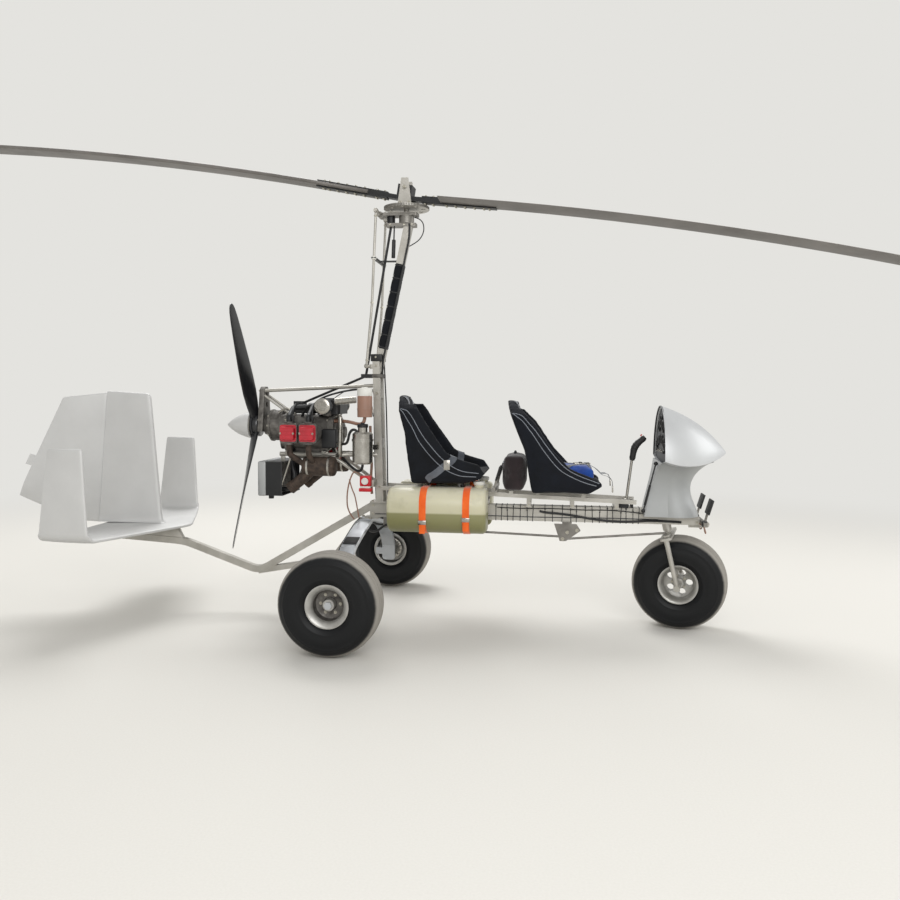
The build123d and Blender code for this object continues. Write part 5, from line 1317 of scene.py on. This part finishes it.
handle = hose([(708, y, z) for y, z in ((-70, 1066), (-60, 1084), (0, 1089), (60, 1084), (70, 1066))], 14, 8)
hand_over(handle, "bag_handle", rear_canvas, 60)
zip_line = flowing([(602, y, 1030) for y in (-150, -50, 50, 150)])
hand_over(webbing(settle(soft_pieces["soft_stowage_bag"], zip_line, 1.0), 9.0), "bag_zip", piping_tape)
print("belts:", len(belt_table), "piped seats:", len(piping_table))

# %% [markdown]
# A flat-four engine is busy: plugs and their leads, carburettors with filters, a flywheel cover, coils, an oil
# filter, hoses and bands. Nearly all of these are turned shapes or bent tubes, so a table of profiles and one
# of routes carries most of the work. Each profile is a list of radius and length, turned about an axis.

# %% Turned parts on the engine
def turned(name, profile, places, material, steps=32, smooth=35, body="airframe"):
    """Copies of one turned shape at (place, direction) spots, as one piece."""
    master = lathe(profile, steps)
    copies = [duplicate(master, place, direction) for place, direction in places]
    bpy.data.objects.remove(master)
    return hand_over(gather(copies), name, material, smooth, body=body)


def ribbed(radius, length, ribs, depth):
    """Profile of a cylinder with ribs along it, closed at both ends."""
    profile = [(0.0, 0.0), (radius, 0.0)]
    for number in range(ribs):
        start = length * number / ribs
        profile += [(radius, start + 0.15 * length / ribs), (radius + depth, start + 0.3 * length / ribs),
                    (radius + depth, start + 0.7 * length / ribs), (radius, start + 0.85 * length / ribs)]
    return profile + [(radius, length), (0.0, length)]


head_xs = (-689, -566)
turned_table = (  # name, profile, places, material, slot, steps
    ("spark_plugs", [(0, 0), (10.5, 0), (10.5, 10), (6.5, 12), (6.5, 26), (9.5, 28), (9.5, 52), (6, 58), (0, 58)],
     [((x + 30, hand * 272, 1252), (0, hand * 0.25, 1)) for x in head_xs for hand in left_right], hose_rubber,
     "grip_black", 16),
    ("carburettor_bodies",
     [(0, -35), (24, -35), (26, -30), (26, -12), (34, -8), (34, 20), (30, 26), (30, 50), (0, 50)],
     [((-482, hand * 130, 1366), (0, hand, 0)) for hand in left_right], cast_alloy, "engine_alloy", 28),
    ("carburettor_bowls", [(0, 0), (22, 0), (26, 6), (26, 30), (20, 34), (0, 34)],
     [((-482, hand * 142, 1336), (0, 0, -1)) for hand in left_right], cast_alloy, "engine_alloy", 24),
    ("air_filters", ribbed(44, 66, 9, 3), [((-482, hand * 180, 1366), (0, hand, 0)) for hand in left_right],
     panel_abs, "panel_dark", 36),
    ("filter_caps", [(0, 0), (48, 0), (50, 3), (50, 8), (46, 11), (30, 12.5), (28, 9), (0, 9)],
     [((-482, hand * 246, 1366), (0, hand, 0)) for hand in left_right], stainless, "engine_alloy", 36),
    ("ribbed_duct", ribbed(19.5, 135, 15, 3.5), [((-420, -175, 1395), (1, 0.06, 0.1))], stainless, "engine_alloy", 24),
    ("flywheel_cover",
     [(0, 0), (104, 0), (106, 4), (106, 14), (96, 26), (70, 30), (66, 40), (40, 44), (36, 56), (0, 56)],
     [((-450, 0, 1197), (1, 0, 0))], cast_alloy, "engine_alloy", 48),
    ("starter_motor", [(0, 0), (30, 0), (34, 4), (34, 90), (30, 94), (22, 96), (22, 112), (0, 112)],
     [((-662, 66, 1350), (1, 0, 0))], black_coat, "black_alloy", 32),
    ("oil_filter", [(0, 0), (30, 0), (36, 6), (36, 74), (32, 82), (14, 86), (0, 86)],
     [((-470, -30, 1098), (0.35, -0.1, -1))], red_enamel, "red_cover", 32),
    ("mount_rubbers", [(0, 0), (18, 0), (21.5, 3), (21.5, 7), (18, 10), (0, 10)],
     [((x, hand * 112, 1078.5), (0, 0, 1)) for x in (-740, -500) for hand in left_right], hose_rubber, "grip_black",
     24),
    ("port_flanges", [(17.2, 0), (30, 0), (31, 2), (31, 8), (29, 10), (17.2, 10), (17.2, 0)],
     [((x, hand * 266, z), (0, 0, up)) for x in head_xs for hand in left_right for z,
      up in ((1258.5, 1), (1135.5, -1))], cast_alloy, "engine_alloy", 28),
    ("collector_bands", [(62.2, -6), (64.5, -6), (64.5, 6), (62.2, 6), (62.2, -6)],
     [((x, hand * 168, 985), (1, 0, 0)) for x in (-592, -456) for hand in left_right], stainless, "frame_steel", 48),
    ("gearbox_boss", [(72, 0), (84, 0), (86, 3), (86, 12), (80, 16), (72, 16), (72, 0)],
     [((-887, 0, 1236), (-1, 0, 0))], cast_alloy, "engine_alloy", 48),
    ("oil_can_cap", [(0, 0), (33, 0), (34, 4), (34, 18), (30, 22), (12, 23), (11, 30), (0, 30)],
     [((-235, -205, 1235.5), (0, 0, 1))], black_coat, "black_alloy", 32),
    ("header_jacket", [(0, 0), (44.2, 0), (46.2, 2), (46.6, 40), (47.8, 46), (47.8, 52), (46.6, 58), (46.6, 128),
                       (44.2, 132), (0, 132)], [((-222, -205, 1300), (0, 0, 1))], pink_silicone, "panel_dark", 40),
    ("header_cap", [(0, 0), (46, 0), (47.5, 4), (47.5, 40), (43, 47), (20, 49), (18, 54), (0, 54)],
     [((-222, -205, 1433), (0, 0, 1))], white_nylon, "tank_plastic", 40),
    ("pump_cover", [(0, 0), (20, 0), (22, 3), (22, 10), (18, 13), (0, 13)], [((-222, -196, 898), (0, -1, 0))],
     white_nylon, "tank_plastic", 28),
    ("spinner_ring", [(75.2, 0), (77.5, 1), (77.5, 9), (75.2, 10), (75.2, 0)], [((-1022, 0, 1236), (-1, 0, 0))],
     stainless, "silver_alloy", 64),
)
for name, profile, places, material, slot, steps in turned_table:
    body = "propeller" if name == "spinner_ring" else "airframe"
    turned(name, profile, places, material, steps, body=body)
print("turned parts:", len(turned_table))

# %% Boxes and plates on the engine
box_table = (  # name, size in mm, place, edge radius, material, slot
    ("ignition_coils", (62, 34, 38), (-620, -40, 1334), 5, black_coat, "black_alloy"),
    ("ignition_coils_port", (62, 34, 38), (-600, 10, 1334), 5, black_coat, "black_alloy"),
    ("ignition_box", (96, 46, 120), (-465, -142, 1160), 8, black_coat, "black_alloy"),
    ("voltage_regulator", (60, 30, 74), (-470, 130, 1170), 5, cast_alloy, "engine_alloy"),
    ("fuel_pump_body", (70, 52, 66), (-222, -170, 898), 7, red_plastic, "red_cover"),
    ("fuel_pump_foot", (80, 58, 22), (-222, -170, 842), 5, red_plastic, "red_cover"),
    ("fuel_pump_band", (64, 46, 14), (-222, -170, 859), 4, white_nylon, "tank_plastic"),
    ("pump_bracket", (14, 122, 40), (-180, -105, 880), 2, frame_tube, "frame_steel"),
    # the radiator's rear frame takes the same darker silver, with its painted shade
    ("radiator_rear_frame", (54, 388, 222), (-895.5, 0, 900), 10, dull_enamel_painted_shade, "silver_alloy"),
    ("radiator_foot", (30, 24, 26), (-850, -140, 781), 4, hose_rubber, "grip_black"),
    ("radiator_foot_port", (30, 24, 26), (-850, 140, 781), 4, hose_rubber, "grip_black"),
    ("mast_clamp", (74, 132, 46), (-180, 0, 1676), 5, black_coat, "black_metal"),
    ("mast_clamp_low", (66, 126, 26), (-177, 0, 1560), 4, cast_alloy, "frame_steel"),
)
for name, size, place, edge, material, slot in box_table:
    hand_over(block(size, place, edge, 3), name, material, 40)

core_fin = block((46, 1.2, 196), (-835, -180, 900), 0.3, 1)
apply_modifier(core_fin, "ARRAY", count=61, use_relative_offset=False, use_constant_offset=True,
               constant_offset_displace=(0.0, 0.006, 0.0))
hand_over(core_fin, "radiator_core", cast_alloy, 30)

bolts("gearbox_bolts", [((-888.5, y, 1236 + z), (-1, 0, 0)) for y, z in on_circle(94, 9, 0.35)]
      + [((-960.5, y, z), (-1, 0, 0)) for y, z in ((-30, 1462), (30, 1462), (-60, 1270), (60, 1270))], 8)
bolts("cover_bolts",
      [((x + dx, hand * 320.5, 1197), (0, hand, 0)) for x in head_xs for dx in (-41, 41) for hand in left_right], 6)
bolts("case_bolts", [((x, hand * 110.5, z), (0, hand, 0))
                     for x in (-765, -742, -488) for hand in left_right for z in (1120, 1275)]
      + [((-447.5, y, 1197 + z), (1, 0, 0)) for y, z in on_circle(84, 6)], 6)

# %% [markdown]
# Hoses and cables never run straight for long: each leaves its fitting squarely, sags a little and comes back
# square. A few given points on a smooth curve give that, and the same list says how thick and of what.

# %% Hoses, cables and rods on the engine
route_table = [  # name, diameter, material, slot, points
    ("coolant_tube", 30, stainless, "frame_steel", ((-430, -110, 1296), (-402, -128, 1312), (-393, -140, 1270),
            (-396, -142, 1160), (-398, -142, 1075), (-404, -130, 1042), (-440, -100, 1060), (-455, -80, 1100))),
    ("header_hose", 22, pink_silicone, "panel_dark", ((-222, -205, 1300), (-224, -204, 1268), (-256, -190, 1252),
            (-330, -150, 1268), (-400, -100, 1272), (-452, -80, 1270))),
    ("oil_feed_hose", 17, hose_rubber, "grip_black", ((-262, -205, 1200), (-286, -206, 1230), (-322, -200, 1205),
            (-336, -180, 1140), (-372, -140, 1122), (-452, -90, 1130))),
    ("oil_return_hose", 17, hose_rubber, "grip_black", ((-235, -205, 1010), (-236, -205, 972), (-270, -188, 955),
            (-340, -120, 990), (-420, -60, 1060), (-470, -40, 1100))),
    ("radiator_hose", 28, hose_rubber, "grip_black", ((-800, -136, 836), (-752, -142, 824), (-700, -148, 850),
            (-688, -150, 920), (-712, -140, 985), (-720, -100, 1050), (-720, -80, 1090))),
    ("radiator_hose_port", 28, hose_rubber, "grip_black",
     ((-800, 120, 980), (-765, 122, 998), (-738, 110, 1030), (-730, 90, 1090))),
    ("radiator_stay", 13, stainless, "frame_steel", ((-706, -176, 1046), (-788, -178, 804))),
    ("radiator_stay_port", 13, stainless, "frame_steel", ((-706, 176, 1046), (-788, 178, 804))),
    ("coil_stay", 9, stainless, "frame_steel", ((-410, -150, 1130), (-505, -128, 1064))),
    ("fuel_line", 9, pink_silicone, "panel_dark", ((-252, -176, 930), (-290, -176, 975), (-330, -165, 900),
            (-352, -150, 790), (-350, -120, 690), (-318, -85, 640))),
    ("vent_line", 8, pink_silicone, "panel_dark",
     ((-330, -165, 905), (-318, -160, 850), (-300, -140, 800), (-296, -105, 730), (-290, -70, 650))),
    ("main_loom", 13, hose_rubber, "grip_black", ((-620, -40, 1346), (-580, -30, 1402), (-500, 10, 1440),
            (-380, 40, 1470), (-260, 44, 1480), (-214, 30, 1470), (-208, 10, 1400), (-204, 0, 1200), (-196, 0, 900),
            (-190, 0, 770))),
    ("throttle_cable", 6, hose_rubber, "grip_black", ((-460, -120, 1400), (-400, -110, 1450), (-330, -70, 1480),
            (-250, -52, 1470), (-212, -44, 1400), (-205, -40, 1300))),
    ("balance_hose", 18, hose_rubber, "grip_black",
     ((-540, -120, 1350), (-560, -150, 1372), (-600, -150, 1366), (-640, -120, 1330), (-660, -90, 1300))),
    ("breather_hose", 14, stainless, "frame_steel",
     ((-700, -70, 1300), (-730, -90, 1345), (-780, -90, 1350), (-820, -75, 1320))),
]
for side, hand in sides.items():
    for number, x in enumerate(head_xs):
        start = Vector((x + 30, hand * 286.5, 1308))
        route_table.append((f"plug_lead_{side}_{number + 1}", 8, hose_rubber, "grip_black",
                            (start, start + Vector((4, hand * 6, 24)), (x + 20, hand * 235, 1368 + 12 * number),
                             (x + 10, hand * 150, 1384), (-618 + 20 * number, hand * 70, 1372),
                             (-616 + 20 * number, 0, 1348))))
for name, diameter, material, slot, points in route_table:
    hand_over(hose(points, diameter), name, material, 60)
print("routes:", len(route_table))

# %% [markdown]
# Bands hold much of this machine together: cable ties round the keel, clips round the mast, a rubber sleeve.
# A band is a small rectangle carried once round a closed outline, so a single helper makes them all.

# %% Bands
def band(outline, place, width_mm, thick_mm, turn=None):
    """Closed band round an outline of (y, z) in mm, lying across the X axis before it is turned."""
    ring_spots = [Vector((0, y, z)) for y, z in outline]
    middle = sum(ring_spots, Vector()) / len(ring_spots)
    rings = []
    for spot in ring_spots + ring_spots[:1]:
        out = (spot - middle).normalized() * thick_mm
        half = Vector((width_mm / 2, 0, 0))
        rings.append([spot - half, spot + half, spot + half + out, spot - half + out])
    piece = loft(rings, fill=False)
    close_up(piece)
    piece.matrix_world = shift(place) @ (turn or Matrix.Identity(4))
    bpy.context.view_layer.update()
    return piece


def box_outline(y, z, c):
    """Outline of a rectangle of half widths y and z with corners cut by c, in mm."""
    return [(y, z - c), (y - c, z), (c - y, z), (-y, z - c), (-y, c - z), (c - y, -z), (y - c, -z), (y, c - z)]


# %% [markdown]
# The keel is a plain box tube that carries every hose and wire to the nose, tied down at uneven steps as
# someone does it on a workbench. A thick black hose hangs along its lower edge. The ties are narrow bands with
# a small head, at places listed one by one, because an even row would look like a machine's work.

# %% Keel ties, hoses and wires
tie_xs = (592, 628, 664, 702, 746, 790, 826, 902, 948, 1010, 1062, 1098, 1152, 1196, 1242, 1288, 1322, 1372, 1404,
          1446, 1482)
ties = []
for number, x in enumerate(tie_xs):
    lean = Matrix.Rotation(radians(3.0 * sin(2.3 * number)), 4, "Y")
    ties.append(band(box_outline(41.5, 49.5, 4), (x, 0, 700), 4.5, 1.6, lean))
    ties.append(block((8, 6, 7), (x, -44.5, 742 - 12 * (number % 3)), 1, 1))
hand_over(gather(ties), "keel_cable_ties", hose_rubber, 30)
keel_wire = ((600, -44.5, 734), (760, -44.5, 728), (940, -44.5, 736), (1120, -44.5, 728), (1300, -44.5, 734),
             (1480, -44.5, 720), (1520, -60, 716))
keel_runs = (  # name, diameter, material, points
    ("keel_hose", 14, hose_rubber, ((868, -44, 716), (900, -49, 708), (990, -49, 704), (1080, -49, 694),
                                    (1180, -49, 676), (1300, -49, 664), (1420, -49, 662), (1540, -49, 674),
                                    (1660, -49, 672), (1740, -44, 668))),
    ("keel_wire", 6, hose_rubber, keel_wire),
    ("keel_brake_line", 5, panel_abs, ((-190, -43.5, 672), (100, -43.5, 676), (500, -43.5, 680), (900, -43.5, 676),
                                       (1300, -43.5, 684), (1600, -43.5, 680))),
    ("keel_wire_port", 6, hose_rubber, [(x, -y, z) for x, y, z in keel_wire]),
    ("keel_hose_port", 12, hose_rubber,
     ((100, 46, 694), (400, 46, 700), (800, 46, 690), (1200, 46, 696), (1600, 46, 688))),
)
for name, diameter, material, points in keel_runs:
    hand_over(hose(points, diameter), name, material, 60)
post_heads = [((x, hand * 110.8, 762), (0, hand, 0)) for x in (-40, 250, 530, 800, 1070, 1340) for hand in left_right]
bolts("rail_post_bolts", post_heads, 6)
bolts("keel_bolts", [((x, hand * 40.2, z), (0, hand, 0)) for hand in left_right for x,
                     z in ((-205, 672), (-205, 728), (1590, 668), (1836, 668))], 8)

# %% [markdown]
# The foot of the stick, the gas strut on the pedestal and the pedals' cables are small fittings that a pilot's
# eye falls on. Each is a box with soft edges, a turned end or a bent tube.

# %% Stick, pedestal strut and nose fittings
turned("grip_button", [(0, 0), (6.5, 0), (6.5, 6), (5, 7.5), (0, 7.5)], [((1492, 0, 1199.5), (-0.7, 0, 0.7))],
       red_plastic, 20)
for name, size, place, edge, material in (
    ("stick_yoke", (46, 74, 10), (1406, 0, 754.5), 3, frame_tube),
    ("stick_stop", (14, 10, 46), (1440, 34, 772), 2, black_coat),
    ("stick_stop_starboard", (14, 10, 46), (1440, -34, 772), 2, black_coat),
    ("trim_box", (60, 34, 40), (1386, -62, 772), 5, black_coat),
):
    hand_over(block(size, place, edge, 2), name, material, 40)
strut_low, strut_high = Vector((1500, -124, 744)), Vector((1568, -130, 1036))
strut = [hose((strut_low, strut_high), 9),
         hose((strut_low.lerp(strut_high, 0.12), strut_low.lerp(strut_high, 0.55)), 15)]
hand_over(gather(strut), "pedestal_gas_strut", black_coat, 60)
turned("strut_ends", [(0, -11), (7, -10), (12.5, -4), (12.5, 4), (7, 10), (0, 11)],
       [(strut_low, (0, 1, 0)), (strut_high, (0, 1, 0))], hose_rubber, 24, 60)
for side, hand in sides.items():
    loop = ((1861, hand * 120, 664), (1868, hand * 118, 628), (1880, hand * 95, 606), (1884, hand * 70, 618),
            (1872, hand * 52, 652), (1846, hand * 36, 664))
    hand_over(hose(loop, 7), f"pedal_cable_{side}", pink_silicone, 60)
    hand_over(block((32, 22, 34), (1861, hand * 150, 677), 3, 2), f"pedal_clamp_{side}", black_coat,
              40)
for number, (x, z) in enumerate(((1861, 677), (586, 861))):
    lean = Matrix.Rotation(radians(16.5), 4, "Y")
    for side, hand in sides.items():
        pad = block((11, 124, 92), (x + 26.5, hand * 150, z + 105 - 4 * number), 3, 2, lean)
        hand_over(pad, f"pedal_pad_{side}_{number + 1}", grip_rubber, 40)
bolts("pedal_bolts", [((x, hand * y, z), (1, 0, 0.3)) for hand in left_right for x, y,
                      z in ((1889, 120, 792), (1889, 180, 792), (1893, 120, 808), (1893, 180, 808))], 5)
turned("tow_eye_bush", [(8.2, -8), (12.5, -8), (12.5, 8), (8.2, 8), (8.2, -8)], [((1896, 0, 652), (0, 1, 0))],
       zinc_plate)

# %% [markdown]
# The pod's rear opening holds a dark panel with round instruments. A pilot sees bezels, dark faces with white
# ticks and a needle, a row of switches and a few knobs. The ticks are one thin bar copied round by a spin that
# makes duplicates. The faces carry no lettering.

# %% Instruments
dial_face = moulded("black_dial_face", "#101113", "#17181a", 0.35, 1.5, 0.02)
dial_white = moulded("white_dial_paint", "#e6e5df", "#cfcec8", 0.5, 1.0, 0.01)
PANEL_X = 1615.5
gauges = ((0, 1292, 40), (-98, 1262, 40), (98, 1262, 40), (-52, 1180, 29), (52, 1180, 29), (-140, 1162, 29),
          (140, 1162, 29), (-205, 1140, 26), (205, 1140, 26))
bezels, faces, marks = [], [], []
for y, z, r in gauges:
    middle = (PANEL_X, y, z)
    ring = lathe([(r * 0.84, 0), (r, 0), (r, 8), (r * 0.96, 11), (r * 0.86, 11), (r * 0.84, 8), (r * 0.84, 0)], 40)
    aim(ring, middle, (-1, 0, 0))
    bezels.append(ring)
    face = lathe([(0, 0), (r * 0.85, 0), (r * 0.85, 4), (0, 4)], 40)
    aim(face, middle, (-1, 0, 0))
    faces.append(face)
    tick = block((0.9, 0.4, 5.0 if r > 30 else 3.6), (0, 4.2, r * 0.7), 0.1, 1)
    ring_of(tick, 12, (0, 1, 0))
    aim(tick, middle, (-1, 0, 0))
    marks.append(tick)
    needle = block((1.3, 0.6, r * 0.62), (0, 5.2, r * 0.27), 0.2, 1)
    fix_place(needle)
    aim(needle, middle, (-1, 0, 0), 0.009 * y + 0.03 * z)
    marks.append(needle)
for pieces, name, material, slot in ((bezels, "instrument_bezels", black_coat, "black_metal"),
                                     (faces, "instrument_faces", dial_face, "panel_dark"),
                                     (marks, "instrument_marks", dial_white, "tank_plastic")):
    hand_over(gather(pieces), name, material, 40)
knob = [(0, 0), (7.5, 0), (8.5, 2), (8.5, 12), (7, 15), (0, 15)]
turned("panel_knobs", knob, [((PANEL_X, y, 1108) , (-1, 0, 0)) for y in (-180, -150, 150, 180)], grip_rubber,
       20)
toggle = [(0, 0), (5.5, 0), (5.5, 3), (2.2, 4), (2.8, 17), (0, 18.5)]
turned("panel_switches", toggle,
       [((PANEL_X, -105 + 30 * n, 1108), (-1, 0, 0.35 - 0.7 * (n % 3 == 1))) for n in range(8)], stainless,
       14)
rim_points = [(1603.5, 313.5 * cos(a), 1066.5 + 318 * sin(a)) for a in [pi * n / 18 for n in range(19)]]
hand_over(hose(rim_points, 9, 4), "pod_edge_trim", hose_rubber, 60)

# %% [markdown]
# The mast carries the rotor head, and everything that runs to it: a dark sleeve, a black drive cable, control
# rod ends and a guide bracket. The sleeve is a loft of soft rectangles that swell a little between its ties,
# and it makes the upper mast dark in its middle.

# %% Mast and rotor head fittings
mast_low, mast_high = Vector((-180, 0, 1590)), Vector((15, 0, 2520))
mast_way = (mast_high - mast_low).normalized()
mast_front = Vector((mast_way.z, 0, -mast_way.x))


def on_mast(z):
    """Point on the upper mast's middle line at a height."""
    return mast_low.lerp(mast_high, (z - mast_low.z) / (mast_high.z - mast_low.z))


# a dark sleeve of black canvas round the upper mast, from 1735 to 2270 mm high
sleeve_rings = []
for number in range(25):
    z = 1735 + 535 * number / 24
    puff = 1.045 + 0.066 * abs(sin(pi * number / 4)) if 0 < number < 24 else 1.036
    sleeve_rings.append([on_mast(z) + mast_front * (u * puff) + Vector((0, v * puff, 0)) for u,
                         v in box_outline(25.6, 31.6, 6)])
hand_over(loft(sleeve_rings), "mast_dark_sleeve", rear_canvas, 60)
upright_mast = Vector((1, 0, 0)).rotation_difference(mast_way).to_matrix().to_4x4()
sleeve_ties = [band(box_outline(33.6, 27.8, 6), on_mast(z), 6, 1.5, upright_mast)
               for z in (1745, 1824, 1914, 2002, 2092, 2180, 2260)]
hand_over(gather(sleeve_ties), "mast_sleeve_ties", hose_rubber, 30)
hand_over(block((124, 34, 8), (-118, 0, 2290), 2), "guide_arm", black_coat, 40)
hand_over(block((30, 330, 8), (-178.5, 0, 2290), 3), "guide_bar", black_coat, 40)
turned("guide_bushes", [(8.5, -10), (14, -10), (15, -8), (15, 8), (14, 10), (8.5, 10), (8.5, -10)],
       [((-177.5, hand * 150, 2290), (0.04, 0, 1)) for hand in left_right], white_nylon, 28)
turned("rod_ends", [(0, -11), (9, -11), (14.5, -6), (14.5, 6), (9, 11), (0, 11)],
       [((x, hand * 150, z), (0, 1, 0)) for x, z in ((-166, 2580), (-224, 1620)) for hand in left_right], stainless,
       28)
turned("rod_lock_nuts", [(7.8, 0), (11.5, 0), (11.5, 8), (7.8, 8), (7.8, 0)], [((x, hand * 150, z), way) for x, z,
        way in ((-167.2, 2552, (-0.04, 0, -1)), (-221.2, 1652, (0.09, 0, 1)), (-189.5, 2010, (0.04, 0, 1)))
        for hand in left_right], zinc_plate, 6)
turned("head_damper", [(0, 0), (11, 0), (12, 3), (12, 110), (10, 114), (4.5, 115), (4.5, 200), (0, 200)],
       [((-76, -46, 2304), (0.03, 0, 1))], black_coat, 24)
mast_routes = (
    ("prerotator_cable", 13, hose_rubber, ((-150, -20, 1560), (-146, -42, 1640), (-118, -45, 1760), (-72, -44, 1960),
                                           (-30, -44, 2160), (4, -44, 2330), (30, -42, 2450), (24, -36, 2520))),
    ("head_cable_loop", 7, hose_rubber,
     ((-10, 35, 2380), (30, 44, 2400), (86, 46, 2440), (110, 40, 2500), (92, 30, 2560), (50, 20, 2568))),
    ("strobe_wire", 5, pink_silicone,
     ((-196, 34, 1700), (-160, 40, 1850), (-110, 40, 2080), (-70, 40, 2290), (-36, 38, 2440), (-22, 34, 2512))),
    ("mast_wire", 9, hose_rubber,
     ((-120, 26, 780), (-124, 28, 980), (-128, 26, 1200), (-134, 28, 1400), (-144, 30, 1560), (-150, 36, 1680))),
    ("mast_pipe", 18, pink_silicone,
     ((-214, -30, 800), (-222, -32, 900), (-214, -30, 1000), (-222, -32, 1120), (-226, -30, 1240))),
)
for name, diameter, material, points in mast_routes:
    hand_over(hose(points, diameter), name, material, 60)
bolts("mast_foot_bolts", [((-155 + dx, hand * 62, 756.5), (0, 0, 1)) for dx in (-48, 48) for hand in left_right], 8)
bolts("mast_bolts", [((-155 - 30 * (z - 748) / 952, hand * 61.8, z), (0, hand, 0))
                     for z in (850, 1130, 1450, 1626, 1680) for hand in left_right], 8)
bolts("head_bolts", [((x, hand * 37.5, 2515), (0, hand, 0)) for x in (-100, -10, 40) for hand in left_right]
      + [((x, hand * 37.5, 2589.5), (0, 0, 1)) for x in (-130, -95) for hand in left_right], 6)

# %% Rotor details
strap_spots = []
for hand in left_right:
    outward = Vector((hand * cos(CONE), 0, sin(CONE)))
    up = Vector((-hand * sin(CONE), 0, cos(CONE)))
    for reach in (0.135, 0.185, 0.27, 0.33, 0.39, 0.45, 0.51, 0.545):
        for y in (-0.017, 0.017):
            for face, away in ((0.0217, up), (-0.0217, -up)):
                strap_spots.append((park @ (hub + Vector((0, y, 0)) + outward * reach + up * face) * 1000,
                                    park.to_3x3() @ away))
bolts("blade_strap_bolts", strap_spots, 8, body="rotor")
tower_spots = [(tower_turn @ Vector((x, hand * y, z)), tower_turn.to_3x3() @ Vector((0, hand, 0))) for x, y,
               z in ((-28, 60.2, 2646), (28, 60.2, 2646), (0, 70.2, 2742)) for hand in left_right]
bolts("tower_bolts", tower_spots, 10, body="rotor_mast")
tooth = block((3.4, 5.4, 15.5), (142.5, 0, 2620), 0.6, 1)
ring_of(tooth, 90, (0, 0, 1))
hand_over(tooth, "ring_gear_teeth", cast_alloy, 30, body="rotor_mast")
print("ring gear points:", len(tooth.data.vertices))

# %% [markdown]
# Last come the small things at arm's reach: caps and buckles on the tanks, dark steps to tread on at the legs,
# brake lines, and the bolts that hold the legs to the keel.

# %% Tanks and gear legs
turned("tank_caps", [(0, 0), (34, 0), (36, 3), (36, 18), (33, 22), (12, 23.5), (0, 23.5)],
       [((495, hand * 163, 887), (0, 0, 1)) for hand in left_right], white_nylon, 36)
turned("tank_vents", [(0, 0), (12, 0), (13, 2), (13, 14), (7, 16), (7, 30), (0, 31)],
       [((392, hand * 170, 871), (0, 0, 1)) for hand in left_right], black_coat, 24)
for side, hand in sides.items():
    vent = ((392, hand * 170, 900), (398, hand * 160, 918), (440, hand * 130, 912), (470, hand * 105, 880),
            (472, hand * 85, 840), (470, hand * 60, 790), (468, hand * 43, 744))
    hand_over(hose(vent, 8), f"tank_vent_hose_{side}", hose_rubber, 60)
    drain = ((-40, hand * 200, 640), (-90, hand * 205, 630), (-140, hand * 190, 585), (-190, hand * 150, 570),
             (-230, hand * 100, 590), (-250, hand * 50, 614))
    hand_over(hose(drain, 15), f"tank_drain_hose_{side}", hose_rubber, 60)
    for number, (x, z) in enumerate(((165, 668), (430, 690))):
        hand_over(block((50, 7, 26), (x, hand * 344, z), 2), f"strap_buckle_{side}_{number + 1}", stainless,
                  40)
        tail = webbing([(Vector((x, hand * 343, z - 4 - 16 * n)), Vector((0, hand, 0))) for n in range(5)], 36)
        hand_over(tail, f"strap_tail_{side}_{number + 1}", orange_web, 40)
    slope = Matrix.Rotation(-hand * radians(13.2), 4, "X")
    hand_over(block((84, 104, 4), (-254, hand * 420, 560.5), 1.5, 2, slope), f"step_pad_{side}", hose_rubber,
              40)
    line = ((-285, hand * 48, 646), (-300, hand * 120, 632), (-304.5, hand * 240, 598), (-304.5, hand * 380, 564),
            (-304.5, hand * 500, 532), (-304.5, hand * 610, 468), (-304.5, hand * 700, 390),
            (-304.5, hand * 745, 335), (-312, hand * 800, 306))
    hand_over(hose(line, 6), f"brake_line_{side}", hose_rubber, 60)
bolts("bell_crank_bolts", [((x, -61, z), (0, -1, 0)) for x, z in (
    (1042, 588),
    (1014, 546),
    (1102, 602))], 10)
bolts("leg_root_bolts", [((x, hand * 52, 640.5), (0, 0, 1)) for x in (-288, -220) for hand in left_right], 10)
bolts("leg_end_bolts",
      [((x, hand * 746.5, z), (0, hand, 0)) for x in (-286, -222) for z in (240, 340) for hand in left_right], 8)

# %% Finish
bpy.data.objects.remove(master_bolt)
